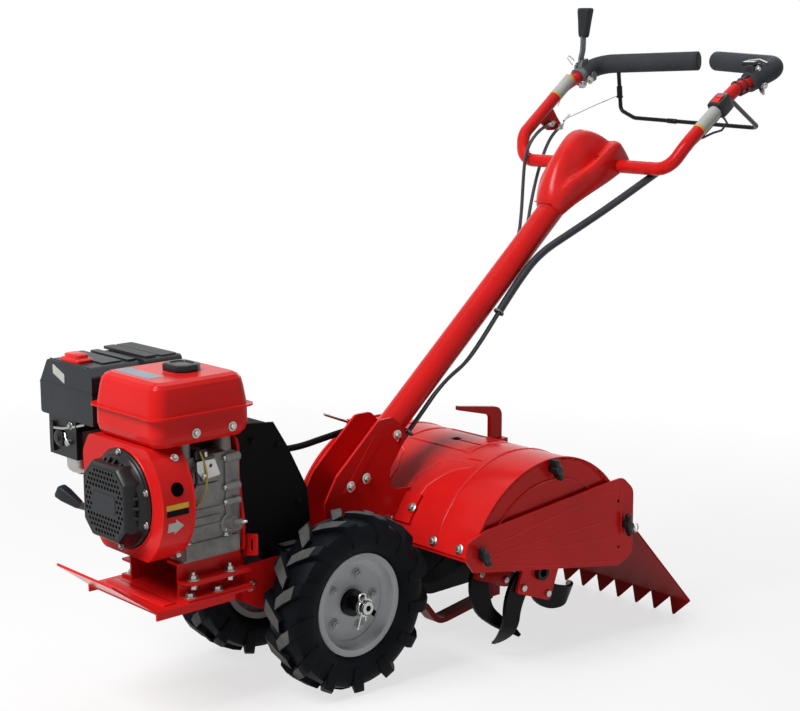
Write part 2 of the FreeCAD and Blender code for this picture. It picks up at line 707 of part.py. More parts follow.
def muffler():
    """Muffler behind the air cleaner under its flat black guard."""
    y0 = CLEANER_Y[0] + 14
    y1 = CLEANER_Y[1]
    top = GUARD_TOP_Z
    case = plate_yz([(y1, 462, 8), (y0, 462, 10), (y0, top - 22, 10), (y0 + 22, top - 2, 10), (y1, top, 8)], *GUARD_X)
    pipe = box(190, 230, HEAD_Y + 12, HEAD_Y + 52, CRANKCASE_TOP_Z, 463)
    return fused([case, pipe])


def oil_filler():
    """Dipstick plug on the crankcase's left face."""
    x = CRANKCASE_X[0] + 24
    y = CRANKCASE_HALF_WIDTH
    z = ENGINE_FOOT_Z + 50
    neck = cylinder((x, y, z), (-0.3, 0.9, 0.2), 11, 14)
    bar = cylinder((x - 4, y + 8, z + 2), (-0.3, 0.9, 0.2), 5, 20)
    behind = box(x - 60, x + 60, y - 40, y, z - 60, z + 60)
    return fused([neck, bar]).cut(behind)


def back_plate():
    """Upright plate between engine and belt cover, bolted to the crankcase."""
    corners = [
        (-82, ENGINE_FOOT_Z, 8), (82, ENGINE_FOOT_Z, 8), (82, 330, 10), (70, 400, 20),
        (70, TANK_BOTTOM_Z - 4, 20), (-70, TANK_BOTTOM_Z - 4, 20), (-82, 330, 10),
    ]
    plate = plate_yz(corners, BELT_PLATE_X, CRANKCASE_X[0])
    hole = cylinder((BELT_PLATE_X - 5, 0, CRANK_Z), (1, 0, 0), CRANKSHAFT_R + 8, 20)
    return plate.cut(hole)


def belt_cover_shape(inset):
    """Side view and width of the belt cover, drawn in by inset."""
    s = inset
    rear = BELT_PLATE_X - FIT_GAP - s
    side = [
        (rear, 264 + s, 0), (rear, TANK_BOTTOM_Z - 4 - s, 0), (TANK_X[0] + 2 - s, TANK_BOTTOM_Z - 4 - s, 0),
        (TANK_X[0] + 2 - s, 480 - s, 0), (104 + s, 474 - s, 16), (76 + s, 430, 10),
        (34 + s, 350, 30), (28 + s, 290, 30), (46 + s, 264 + s, 0),
    ]
    return plate_xz(side, -64 + s, 64 - s)


def belt_cover():
    """Hollow belt cover between engine and wheels, with a grommet for the clutch sleeve."""
    shaft_way = cylinder((100, 0, CRANK_Z), (1, 0, 0), CRANKSHAFT_R + 6, 100)
    x, y, z = SLEEVE_ROUTE[0]
    grommet = cylinder((x, y, z), (1, 0, 0), 10, 24)
    cover = belt_cover_shape(0).fuse(grommet).removeSplitter()
    return cover.cut(belt_cover_shape(3)).cut(shaft_way)


# ---------------------------------------------------------------- handle bracket
def column_point(along, off=0.0):
    """Point on the column's axis at a distance from the pivot, off to its upper side."""
    a = math.radians(COLUMN_SLOPE_DEG)
    return V(
        COLUMN_PIVOT[0] - along * math.cos(a) + off * math.sin(a), 0,
        COLUMN_PIVOT[1] + along * math.sin(a) + off * math.cos(a),
    )


def slot_point(direction, radius=SLOT_RADIUS):
    """Point (x, z) at a radius about the handle's pivot; direction in degrees above the rear."""
    a = math.radians(direction)
    return (COLUMN_PIVOT[0] - radius * math.cos(a), COLUMN_PIVOT[1] + radius * math.sin(a))


def arc_slot(half_width):
    """Prism of the bracket's curved slot for the height bolt."""
    y = BRACKET_OUT_Y + 5
    px, pz = COLUMN_PIVOT
    band = tube((px, -y, pz), (0, 1, 0), SLOT_RADIUS + half_width, SLOT_RADIUS - half_width, 2 * y)
    top = slot_point(SLOT_BOLT_DEG, 2 * SLOT_RADIUS)
    low = slot_point(SLOT_BOLT_DEG - HANDLE_DROP_DEG, 2 * SLOT_RADIUS)
    wedge = plate_xz([(px, pz, 0), (low[0], low[1], 0), (top[0], top[1], 0)], -y, y)
    ends = []
    for direction in (SLOT_BOLT_DEG, SLOT_BOLT_DEG - HANDLE_DROP_DEG):
        x, z = slot_point(direction)
        ends.append(cylinder((x, -y, z), (0, 1, 0), half_width, 2 * y))
    return fused([band.common(wedge)] + ends)


def bracket_tab():
    """Tab of the bracket's left plate, turned out along the shroud's front and bolted to it."""
    r0 = SHROUD_R + FIT_GAP
    r1 = r0 + BRACKET_SHEET
    ring = tube((ROTOR_X, BRACKET_HALF_GAP, ROTOR_Z), (0, 1, 0), r1, r0, 44)
    a0 = shroud_point(27, 2 * SHROUD_R)
    a1 = shroud_point(42, 2 * SHROUD_R)
    wedge = plate_xz([(ROTOR_X, ROTOR_Z, 0), (a0[0], a0[1], 0), (a1[0], a1[1], 0)], 0, 200)
    return ring.common(wedge)


def handle_bracket():
    """Two upright plates on the gear case with the pivot bolt, web, tabs and cable stop."""
    y0 = BRACKET_HALF_GAP
    y1 = BRACKET_OUT_Y
    base = GEAR_CASE_TOP_Z
    corners = [
        (-36, base, 0), (-32, 300, 20), (-60, 345, 12), (-160, 432, 16), (-196, 432, 16),
        (-230, 396, 18), (-186, 336, 20), (-186, 300, 20), (-260, 292, 0), (-260, base, 0),
    ]
    plate = plate_xz(corners, y0, y1)
    inside = cylinder((ROTOR_X, y0 - 5, ROTOR_Z), (0, 1, 0), SHROUD_R + FIT_GAP, 20)
    plate = plate.cut(inside).cut(arc_slot(SLOT_BOLT_R + 0.6))
    plate = fused([plate, bracket_tab()])
    bolt = cylinder((COLUMN_PIVOT[0], -y1, COLUMN_PIVOT[1]), (0, 1, 0), PIVOT_BOLT_R, 2 * y1)
    web = box(-112, -50, -y0, y0, base, base + 8)
    stop = box(CABLE_STOP[0], CABLE_STOP[1], -y1 - 26, -y1, 392, 418)
    return fused([plate, mirrored(plate), bolt, web, stop])


def rods():
    """Clutch sleeve and shift rod from the belt cover to the bracket's cable stop."""
    points = [V(*p) for p in SLEEVE_ROUTE]
    sleeve = rod_along(points, [400, 400, 300], SLEEVE_R)
    thin = cylinder((-108, -56, 436), (-62, 0, -25), 3, 90)
    thin = thin.cut(box(-300, CABLE_STOP[1], -80, 0, 300, 500))
    return loose([sleeve, thin])


# ---------------------------------------------------------------- shroud
def shroud_point(deg, radius):
    """Point (x, z) at a radius about the rotor; deg counts up from the front."""
    a = math.radians(deg)
    return (ROTOR_X + radius * math.cos(a), ROTOR_Z + radius * math.sin(a))


def shroud():
    """Arched cover over the tines with its bolting flange, stake guide and comb hinge rod."""
    r1 = SHROUD_R
    r0 = SHROUD_R - SHROUD_SHEET
    w = SHROUD_HALF_WIDTH
    mid = (SHROUD_FRONT_DEG + SHROUD_REAR_DEG) / 2

    def at(deg, radius):
        x, z = shroud_point(deg, radius)
        return V(x, -w, z)

    edges = [
        Part.Arc(at(SHROUD_FRONT_DEG, r1), at(mid, r1), at(SHROUD_REAR_DEG, r1)).toShape(),
        Part.LineSegment(at(SHROUD_REAR_DEG, r1), at(SHROUD_REAR_DEG, r0)).toShape(),
        Part.Arc(at(SHROUD_REAR_DEG, r0), at(mid, r0), at(SHROUD_FRONT_DEG, r0)).toShape(),
        Part.LineSegment(at(SHROUD_FRONT_DEG, r0), at(SHROUD_FRONT_DEG, r1)).toShape(),
    ]
    arch = Part.Face(Part.Wire(edges)).extrude(V(0, 2 * w, 0))
    front_x = shroud_point(SHROUD_FRONT_DEG, r1)[0]
    z = SHROUD_FLANGE_Z
    flange = box(front_x - BEAM_DEPTH, front_x - 1, -w, w, z, z + SHROUD_SHEET)
    half_x = STAKE_WIDTH / 2 + SLIDE_GAP
    half_y = STAKE_THICK / 2 + SLIDE_GAP
    crown_z = ROTOR_Z + math.sqrt(r1 ** 2 - (STAKE_X - ROTOR_X) ** 2)
    arch = arch.cut(box(STAKE_X - half_x, STAKE_X + half_x, -half_y, half_y, ROTOR_Z, crown_z + 50))
    guide = stake_guide(crown_z - 44, crown_z + 4, STAKE_X + half_x + STAKE_COLLAR)
    return fused([arch, flange, guide] + hinge_lugs() + [hinge_rod()])


def hinge_point():
    """Centre (x, z) of the comb's hinge rod."""
    return shroud_point(COMB_HINGE_DEG, SHROUD_R + COMB_HINGE_STANDOFF)


def hinge_rod():
    """Rod behind the shroud that the comb swings on."""
    x, z = hinge_point()
    w = SHROUD_HALF_WIDTH
    return cylinder((x, -w, z), (0, 1, 0), HINGE_ROD_R, 2 * w)


def lug_places():
    """Middle Y of each hinge lug."""
    w = SHROUD_HALF_WIDTH - HINGE_LUG_SHEET / 2
    return (-w, -w / 2, 0.0, w / 2, w)


def hinge_lugs():
    """Lugs from the shroud's rear edge that carry the hinge rod."""
    x, z = hinge_point()
    r = HINGE_BARREL_R
    near = shroud_point(COMB_HINGE_DEG - 6, SHROUD_R - 1)
    far = shroud_point(SHROUD_REAR_DEG - 1, SHROUD_R - 1)
    t = HINGE_LUG_SHEET / 2
    lugs = []
    for y in lug_places():
        eye = cylinder((x, y - t, z), (0, 1, 0), r, 2 * t)
        outline = [(near[0], near[1], 0), (x, z + r, 0), (x, z - r, 0), (far[0], far[1], 0)]
        lugs.append(eye.fuse(plate_xz(outline, y - t, y + t)))
    return lugs


def shroud_beam():
    """Cross beam on the chain case that the shroud's flange is bolted to."""
    front_x = shroud_point(SHROUD_FRONT_DEG, SHROUD_R)[0]
    w = SHROUD_HALF_WIDTH - END_PLATE_RECESS - SHROUD_SHEET - FIT_GAP
    return box(front_x - BEAM_DEPTH, front_x - 4, -w, w, TINE_CASE_TOP_Z, SHROUD_FLANGE_Z)


def shroud_ends():
    """Flat ends of the shroud, set in from the rolled edge, above the side shields."""
    r = SHROUD_R - SHROUD_SHEET - FIT_GAP
    y = END_PLATE_Y
    disc = cylinder((ROTOR_X, y - SHROUD_SHEET, ROTOR_Z), (0, 1, 0), r, SHROUD_SHEET)
    floor_z = SHROUD_FLANGE_Z + SHROUD_SHEET + FIT_GAP
    low = box(ROTOR_X - 2 * r, ROTOR_X + 2 * r, 0, 2 * y, -300, floor_z)
    plate = disc.cut(low)
    return loose([plate, mirrored(plate)])


def side_shield(side):
    """Fan-shaped shield outside the shroud's end."""
    corners = [
        (-223, 261, 6), (-546, 288, 4), (-590, 290, 26), (-622, 262, 26), (-624, 134, 26),
        (-584, 118, 20), (-192, 190, 12), (-172, 216, 10), (-177, 247, 10),
    ]
    plate = plate_xz(corners, SHIELD_Y, SHIELD_Y + SHIELD_SHEET)
    return plate if side > 0 else mirrored(plate)


def shield_knobs():
    """Wing knobs that hold each shroud end and side shield."""
    knobs = [cylinder((-398, END_PLATE_Y, 340), (0, 1, 0), KNOB_R, KNOB_LENGTH + END_PLATE_RECESS)]
    face = SHIELD_Y + SHIELD_SHEET
    for x, z in ((-210, 218), (-598, 197)):
        knobs.append(cylinder((x, face, z), (0, 1, 0), KNOB_R, KNOB_LENGTH))
    return loose(knobs + [mirrored(k) for k in knobs])


# ---------------------------------------------------------------- rotor
def rotor_shaft():
    """Tine shaft through the chain case, with a socket in each end."""
    end = OUTER_FLANGE_Y + ROTOR_FLANGE_THICK / 2 + 9
    body = cylinder((ROTOR_X, -end, ROTOR_Z), (0, 1, 0), ROTOR_SHAFT_R, 2 * end)
    socket = cylinder((ROTOR_X, end - SOCKET_DEPTH, ROTOR_Z), (0, 1, 0), SOCKET_R, SOCKET_DEPTH + 1)
    return body.cut(socket).cut(mirrored(socket))


def rotor_flanges():
    """Square tine flanges, two on each side."""
    plates = []
    h = ROTOR_FLANGE_SIDE / 2
    t = ROTOR_FLANGE_THICK / 2
    corners = [
        (ROTOR_X - h, ROTOR_Z - h, 8), (ROTOR_X + h, ROTOR_Z - h, 8),
        (ROTOR_X + h, ROTOR_Z + h, 8), (ROTOR_X - h, ROTOR_Z + h, 8),
    ]
    bore = cylinder((ROTOR_X, 0, ROTOR_Z), (0, 1, 0), ROTOR_SHAFT_R + SHAFT_GAP, SHROUD_HALF_WIDTH)
    for y in (INNER_FLANGE_Y, OUTER_FLANGE_Y):
        plate = plate_xz(corners, y - t, y + t)
        plate.rotate(V(ROTOR_X, 0, ROTOR_Z), V(0, 1, 0), ROTOR_FLANGE_TURN)
        plate = plate.cut(bore)
        plates += [plate, mirrored(plate)]
    return loose(plates)


def tine(angle, face):
    """One sickle tine: arm against the flange's inner face, its outer end bent inwards."""
    def at(radius, deg, y=face):
        a = math.radians(angle + deg)
        return V(ROTOR_X + radius * math.cos(a), y, ROTOR_Z + radius * math.sin(a))

    root_r = ROTOR_SHAFT_R + 9
    tip_r = TINE_R
    neck_r = 0.78 * TINE_R
    edges = [
        Part.Arc(at(root_r, 68), at(0.55 * tip_r, 34), at(neck_r, 23)).toShape(),
        Part.Arc(at(neck_r, 23), at(0.92 * tip_r, 11), at(tip_r, 0)).toShape(),
        Part.Arc(at(tip_r, 0), at(0.82 * tip_r, 1), at(neck_r - 14, 6)).toShape(),
        Part.Arc(at(neck_r - 14, 6), at(0.42 * tip_r, 8), at(root_r, 2)).toShape(),
        Part.LineSegment(at(root_r, 2), at(root_r, 68)).toShape(),
    ]
    arm = Part.Face(Part.Wire(edges)).extrude(V(0, -TINE_THICK, 0))
    t = TINE_THICK - 1
    top = face - TINE_THICK / 2
    blade_edges = [
        Part.Arc(at(neck_r, 23, top), at(0.92 * tip_r, 11, top), at(tip_r, 0, top)).toShape(),
        Part.LineSegment(at(tip_r, 0, top), at(tip_r - t, 0.6, top)).toShape(),
        Part.Arc(at(tip_r - t, 0.6, top), at(0.92 * tip_r - t, 11, top), at(neck_r - t, 22, top)).toShape(),
        Part.LineSegment(at(neck_r - t, 22, top), at(neck_r, 23, top)).toShape(),
    ]
    blade = Part.Face(Part.Wire(blade_edges)).extrude(V(0, TINE_THICK / 2 - TINE_THICK - TINE_BLADE, 0))
    return fused([arm, blade])


def tines():
    """Four tines on each flange, the outer and inner sets half a step apart."""
    every = []
    t = ROTOR_FLANGE_THICK / 2
    for step, y in ((0.0, OUTER_FLANGE_Y), (45.0, INNER_FLANGE_Y)):
        for k in range(4):
            one = tine(TINE_TIP_DEG + step + 90 * k, y - t)
            every += [one, mirrored(one)]
    return loose(every)


# ---------------------------------------------------------------- depth stake and skid
def stake():
    """Depth stake: flat bar through its guides, its top cranked forward as a handle."""
    h = STAKE_WIDTH / 2
    t = STAKE_THICK / 2
    side = [
        (STAKE_X - h, STAKE_FOOT_Z, 0), (STAKE_X - h, 400, 20), (-390, 418, 0), (-390, 410, 0),
        (STAKE_X + h, 388, 10), (STAKE_X + h, STAKE_FOOT_Z, 0),
    ]
    return plate_xz(side, -t, t)


def skid():
    """Curved runner bolted to the front of the stake's foot, its nose turned up."""
    rear = STAKE_X + STAKE_WIDTH / 2 + FIT_GAP
    foot = STAKE_FOOT_Z
    t = 10.0
    corners = [
        (rear, foot + 2, 0), (-352, foot - 16, 50), (-326, foot - 16, 34), (-292, foot + 26, 0),
        (-301, foot + 32, 0), (-332, foot - 16 + t, 24), (-350, foot - 16 + t, 40), (rear, foot + 2 + t, 0),
    ]
    w = SKID_HALF_WIDTH
    lug = box(rear, rear + 12, -w, w, foot + 2, foot + 34)
    return fused([plate_xz(corners, -w, w), lug])


# ---------------------------------------------------------------- comb
def hung_plate(outline, start, end):
    """Sheet of (y, distance) corners hung from the Y line at start towards the line at end."""
    verts = [V(0, y, -d) for y, d in outline]
    verts.append(verts[0])
    plate = Part.Face(Part.makePolygon(verts)).extrude(V(-COMB_SHEET, 0, 0))
    dx = end[0] - start[0]
    dz = end[1] - start[1]
    plate.rotate(V(0, 0, 0), V(0, 1, 0), math.degrees(math.atan2(-dx, -dz)))
    plate.translate(V(start[0], 0, start[1]))
    return plate


def comb():
    """Levelling comb: sheet from the hinge down to a bend, teeth hanging from the bend."""
    w = COMB_HALF_WIDTH
    hinge = hinge_point()
    length = math.hypot(COMB_BEND[0] - hinge[0], COMB_BEND[1] - hinge[1])
    lead = HINGE_BARREL_R + 6
    sheet = hung_plate([(-w, lead), (w, lead), (w, length), (-w, length)], hinge, COMB_BEND)
    depth = math.hypot(COMB_TIP[0] - COMB_BEND[0], COMB_TIP[1] - COMB_BEND[1])
    pitch = 2 * w / COMB_TEETH
    edge = [(w, -1), (-w, -1)]
    for k in range(COMB_TEETH):
        y = -w + k * pitch
        edge.append((y, depth))
        edge.append((y + COMB_TOOTH_POINT, depth))
        edge.append((y + pitch, 2.0))
    teeth = hung_plate(edge, COMB_BEND, COMB_TIP)
    return fused([sheet, teeth] + comb_barrels(lead))


def comb_barrels(lead):
    """Hinge barrels between the lugs, each with a leaf to the sheet."""
    x, z = hinge_point()
    lugs = lug_places()
    gap = HINGE_LUG_SHEET / 2 + 3
    pieces = []
    for y0, y1 in zip(lugs[:-1], lugs[1:]):
        a = y0 + gap
        b = y1 - gap
        leaf = hung_plate([(a, 0), (b, 0), (b, lead + 1), (a, lead + 1)], (x, z), COMB_BEND)
        barrel = cylinder((x, a, z), (0, 1, 0), HINGE_BARREL_R, b - a).fuse(leaf)
        bore = cylinder((x, a - 1, z), (0, 1, 0), HINGE_ROD_R + SHAFT_GAP, b - a + 2)
        pieces.append(barrel.cut(bore))
    return pieces


# ---------------------------------------------------------------- handle
def column():
    """Round handle column with its height bolt, fish-mouthed to the handlebar."""
    bx, _, bz = BAR_ROUTE[0]
    a = math.radians(COLUMN_SLOPE_DEG)
    reach = (COLUMN_PIVOT[0] - bx) * math.cos(a) + (bz - COLUMN_PIVOT[1]) * math.sin(a)
    start = column_point(-COLUMN_TAIL)
    axis = column_point(reach) - start
    body = Part.makeCylinder(COLUMN_R, axis.Length, start, axis)
    bore = Part.makeCylinder(COLUMN_R - COLUMN_WALL, axis.Length, start, axis)
    x, z = slot_point(SLOT_BOLT_DEG)
    out = BRACKET_OUT_Y + 0.6
    bolt = cylinder((x, -out, z), (0, 1, 0), SLOT_BOLT_R, 2 * out)
    head = cylinder((x, out, z), (0, 1, 0), 9, 5)
    body = fused([body.cut(bore), bolt, head, mirrored(head)])
    pin = cylinder((COLUMN_PIVOT[0], -60, COLUMN_PIVOT[1]), (0, 1, 0), PIVOT_BOLT_R + SHAFT_GAP, 120)
    cross = cylinder((bx, -60, bz), (0, 1, 0), BAR_R + FIT_GAP, 120)
    return body.cut(pin).cut(cross)


def bar_route(side):
    """Corner points of the handlebar's half on one side."""
    return [V(x, side * y, z) for x, y, z in BAR_ROUTE]


def handlebar():
    """Looped handlebar with the cable gusset under its right arm."""
    solid = rod_along(bar_route(1), BAR_BENDS, BAR_R)
    hollow = rod_along(bar_route(1), BAR_BENDS, BAR_R - BAR_WALL)
    half = solid.cut(hollow)
    corners = [(-842, 932, 2), (-880, 960, 2), (-915, 912, 3), (-868, 912, 3)]
    gusset = plate_xz(corners, -219, -213.5).cut(mirrored(solid))
    return fused([half, mirrored(half), gusset])


def grip(side, lead):
    """Foam grip from ahead of the outer bend to the bar's inward end."""
    route = bar_route(side)
    bend = route[4]
    start = bend + (route[3] - bend).normalize() * lead
    end = route[5]
    past = end + (end - bend).normalize() * 3
    before = start + (start - bend).normalize() * 3
    bore = rod_along([before, bend, past], [BAR_BENDS[3]], BAR_R + FIT_GAP)
    return rod_along([start, bend, end], [BAR_BENDS[3]], GRIP_R).cut(bore)


def grips():
    """Left and right foam grips."""
    return loose([grip(1, LEFT_GRIP_LEAD), grip(-1, RIGHT_GRIP_LEAD)])


def console_ring(along, bottom, shoulder, top, half_width):
    """Domed section across the column at a distance from its pivot."""
    crown = CONSOLE_CROWN * half_width
    low_radius = 0.3 * (shoulder - bottom)
    high_radius = 0.3 * (top - shoulder)
    corners = [
        (-half_width, bottom, low_radius), (half_width, bottom, low_radius),
        (half_width, shoulder, high_radius), (crown, top, high_radius),
        (-crown, top, high_radius), (-half_width, shoulder, high_radius),
    ]

    def place(p):
        q = column_point(along, p.y)
        return V(q.x, p.x, q.z)

    return rounded_wire(corners, place)


def console_shape(inset):
    """Solid hood along the upper column, drawn in by inset."""
    rings = []
    last = len(CONSOLE_SECTIONS) - 1
    for i, (along, bottom, shoulder, top, half_width) in enumerate(CONSOLE_SECTIONS):
        shift = inset if i == 0 else (-inset if i == last else 0)
        rings.append(console_ring(
            along + shift, bottom + inset, shoulder, top - inset, half_width - inset,
        ))
    return Part.makeLoft(rings, True, True)


def console():
    """Hollow moulded hood over the joint of column and handlebar."""
    bx, _, bz = BAR_ROUTE[0]
    start = column_point(500)
    axis = column_point(900) - start
    tube_way = Part.makeCylinder(COLUMN_R + FIT_GAP, axis.Length, start, axis)
    bar_way = cylinder((bx, -100, bz), (0, 1, 0), BAR_R + FIT_GAP, 200)
    shell = console_shape(0).cut(console_shape(CONSOLE_WALL))
    return shell.cut(tube_way).cut(bar_way)


def arm_frame(x, side, upper=True):
    """Point on an arm of the handlebar at x, and the arm's direction."""
    route = bar_route(side)
    a, b = (route[3], route[4]) if upper else (route[2], route[3])
    run = b - a
    point = a + run * ((x - a.x) / run.x)
    return point, run.normalize()


def arm_clamp(x, side, upper, length, wall):
    """Ring around an arm of the handlebar."""
    point, run = arm_frame(x, side, upper)
    start = point - run * (length / 2)
    ring = Part.makeCylinder(BAR_R + wall, length, start, run)
    return ring.cut(Part.makeCylinder(BAR_R + FIT_GAP, length, start, run))


def shift_lever():
    """Shift lever's clamp on the right arm, with its stem and the bail's lug."""
    point, run = arm_frame(-990, -1)
    clamp = arm_clamp(-990, -1, True, 44, 5)
    foot = V(-990, point.y, point.z + BAR_R + 2)
    top = V(-992, point.y, LEVER_KNOB_Z[0])
    stem = Part.makeCylinder(5, (top - foot).Length, foot, top - foot)
    lug = box(BAIL_ROUTE[0][0] + 0.6, BAIL_ROUTE[0][0] + 12, point.y - 4, point.y + 12, point.z - 28, point.z - BAR_R)
    bore = Part.makeCylinder(BAR_R + FIT_GAP, 80, point - run * 40, run)
    return fused([clamp, stem, lug]).cut(bore)


def lever_knob():
    """Tapered knob on the shift lever."""
    point, _ = arm_frame(-990, -1)
    y = point.y

    def ring(x, z, half_x, half_y):
        corners = [
            (x - half_x, y - half_y, 3), (x + half_x, y - half_y, 3),
            (x + half_x, y + half_y, 3), (x - half_x, y + half_y, 3),
        ]
        return rounded_wire(corners, lambda p: V(p.x, p.y, z))

    low, high = LEVER_KNOB_Z
    return Part.makeLoft([ring(-992, low, 11, 8), ring(-996, high, 16, 11)], True, True)


def throttle_lever():
    """Throttle lever's clamp on the left arm with its thumb lever."""
    point, run = arm_frame(-980, 1)
    clamp = arm_clamp(-980, 1, True, 20, 6)
    lever = box(point.x - 7, point.x + 7, point.y - 30, point.y - 6, point.z + BAR_R + 1, point.z + BAR_R + 9)
    bore = Part.makeCylinder(BAR_R + FIT_GAP, 80, point - run * 40, run)
    return fused([clamp, lever]).cut(bore)


def switch_box():
    """Engine switch box around the left arm."""
    point, run = arm_frame(-886, 1, False)
    half = 17.0
    body = box(-18, 18, -half, half, -half, half)
    body = body.makeFillet(5, body.Edges)
    body.rotate(V(0, 0, 0), V(0, 1, 0), math.degrees(math.atan2(-run.z, run.x)))
    body.translate(point)
    body = body.cut(Part.makeCylinder(BAR_R + FIT_GAP, 80, point - run * 40, run))
    for route in left_routes():
        start = V(*route[0])
        lead = (V(*route[1]) - start).normalize()
        body = body.cut(Part.makeCylinder(CABLE_R + FIT_GAP, 16, start - lead * FIT_GAP, lead))
    return body


def bail():
    """Clutch bail: bent rod from the lever's lug across to the left arm."""
    return rod_along([V(*p) for p in BAIL_ROUTE], [12, 25, 25], BAIL_R)


def cable(route):
    """Cable along its clips, with the largest arcs that its runs allow."""
    points = [V(*p) for p in route]
    return rod_along(points, run_radii(points), CABLE_R)


def left_routes():
    """Routes of the left pair of cables, the second laid beside the first."""
    second = [(-884, 205, 954.4), (-862, 178, 910)]
    for count, (x, y, z) in enumerate(LEFT_CABLE[2:]):
        sideways = max(8, 12 - 1.5 * count)
        second.append((x, y - sideways, z - 15 + sideways))
    return LEFT_CABLE, second


def left_cables():
    """Pair of cables from the left arm's switch box down under the column."""
    return loose([cable(route) for route in left_routes()])


def right_cables():
    """Shift and clutch cables from the right arm's gusset down under the column."""
    return loose([cable(RIGHT_SHIFT_CABLE), cable(RIGHT_CLUTCH_CABLE)])


NODES = {
    "left_tyre": lambda: tyre(1),
    "right_tyre": lambda: tyre(-1),
    "left_rim": lambda: rim(1),
    "right_rim": lambda: rim(-1),
    "left_half_shaft": lambda: half_shaft(1),
    "right_half_shaft": lambda: half_shaft(-1),
    "engine_deck": deck,
    "engine_rails": rails,
    "frame_side_plates": frame_sides,
    "transmission_case": transmission,
    "tine_drive_case": tine_case,
    "crankcase": crankcase,
    "cylinder_block": cylinder_block,
    "blower_housing": blower_housing,
    "recoil_starter": recoil,
    "starter_handle": starter_handle,
    "fuel_tank": fuel_tank,
    "fuel_cap": fuel_cap,
    "air_cleaner": air_cleaner,
    "air_cleaner_knob": cleaner_knob,
    "carburettor": carburettor,
    "muffler": muffler,
    "oil_filler": oil_filler,
    "belt_back_plate": back_plate,
    "belt_cover": belt_cover,
    "handle_bracket": handle_bracket,
    "control_rods": rods,
    "tine_shroud": shroud,
    "shroud_beam": shroud_beam,
    "shroud_ends": shroud_ends,
    "side_shield_left": lambda: side_shield(1),
    "side_shield_right": lambda: side_shield(-1),
    "shield_knobs": shield_knobs,
    "rotor_shaft": rotor_shaft,
    "rotor_flanges": rotor_flanges,
    "rotor_tines": tines,
    "depth_stake": stake,
    "depth_skid": skid,
    "levelling_comb": comb,
    "handle_column": column,
    "handlebar": handlebar,
    "handlebar_grips": grips,
    "handle_console": console,
    "shift_lever": shift_lever,
    "lever_knob": lever_knob,
    "throttle_lever": throttle_lever,
    "switch_box": switch_box,
    "clutch_bail": bail,
    "left_cables": left_cables,
    "right_cables": right_cables,
}

# Named points of the working frame, as (point, direction), that joints and mounts refer to.
rotor_end = OUTER_FLANGE_Y + ROTOR_FLANGE_THICK / 2 + 9
axle_end = RIM_DISC_Y + RIM_SHEET + 12 + AXLE_STUB
hinge_x, hinge_z = hinge_point()
KEY_POINTS = {
    "left_axle_end": (V(0, axle_end, AXLE_Z), V(0, 1, 0)),
    "right_axle_end": (V(0, -axle_end, AXLE_Z), V(0, -1, 0)),
    "rotor_axis": (V(ROTOR_X, 0, ROTOR_Z), V(0, 1, 0)),
    "rotor_left_end": (V(ROTOR_X, rotor_end, ROTOR_Z), V(0, 1, 0)),
    "rotor_right_end": (V(ROTOR_X, -rotor_end, ROTOR_Z), V(0, -1, 0)),
    "handle_pivot": (V(COLUMN_PIVOT[0], 0, COLUMN_PIVOT[1]), V(0, 1, 0)),
    "comb_hinge": (V(hinge_x, 0, hinge_z), V(0, 1, 0)),
    "stake_slide": (V(STAKE_X, 0, STAKE_FOOT_Z), V(0, 0, 1)),
}

shapes = {node: park(build()) for node, build in NODES.items()}
ends = [b for s in shapes.values() for b in (s.BoundBox.XMin, s.BoundBox.XMax)]
shift = -(min(ends) + max(ends)) / 2
for node, shape in shapes.items():
    shape.translate(V(shift, 0, 0))
    shape.exportStep("parts/" + node + ".step")
    b = shape.BoundBox
    print("%-18s solids %d valid %s cm3 %.0f x %.1f..%.1f y %.1f..%.1f z %.1f..%.1f" % (
        node, len(shape.Solids), shape.isValid(), shape.Volume / 1000,
        b.XMin, b.XMax, b.YMin, b.YMax, b.ZMin, b.ZMax))
print("park angle %.4f shift %.3f" % (PARK_DEG, shift))
turn = FreeCAD.Rotation(V(0, 1, 0), PARK_DEG)
for name, (point, direction) in KEY_POINTS.items():
    p = turn.multVec(point - V(0, 0, AXLE_Z)) + V(shift, 0, TYRE_R)
    d = turn.multVec(direction)
    print("key %s %.5f %.5f %.5f %.6f %.6f %.6f" % (name, p.x, p.y, p.z, d.x, d.y, d.z))
for name, route in (("left", LEFT_CABLE), ("shift", RIGHT_SHIFT_CABLE), ("clutch", RIGHT_CLUTCH_CABLE)):
    print("radii", name, [round(r) for r in run_radii([V(*p) for p in route])])
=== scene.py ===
import math

import bmesh
import bpy
from bpy.props import FloatProperty, FloatVectorProperty, IntProperty, PointerProperty
from mathutils import Matrix, Vector


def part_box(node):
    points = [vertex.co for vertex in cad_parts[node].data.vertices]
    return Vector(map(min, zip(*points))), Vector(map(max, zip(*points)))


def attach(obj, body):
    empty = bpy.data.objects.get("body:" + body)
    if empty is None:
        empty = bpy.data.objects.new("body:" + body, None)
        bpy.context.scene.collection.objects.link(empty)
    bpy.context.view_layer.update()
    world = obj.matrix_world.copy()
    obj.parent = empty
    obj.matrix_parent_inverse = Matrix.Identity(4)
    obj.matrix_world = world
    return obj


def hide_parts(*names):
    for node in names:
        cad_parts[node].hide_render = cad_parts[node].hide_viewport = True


bl_info = {
    "name": "Garden tiller finish",
    "version": (1, 0, 0),
    "blender": (4, 5, 0),
    "location": "View3D > Sidebar > Tiller",
    "description": "Detailed pieces and finishes for a walk-behind garden tiller",
    "category": "Object",
}

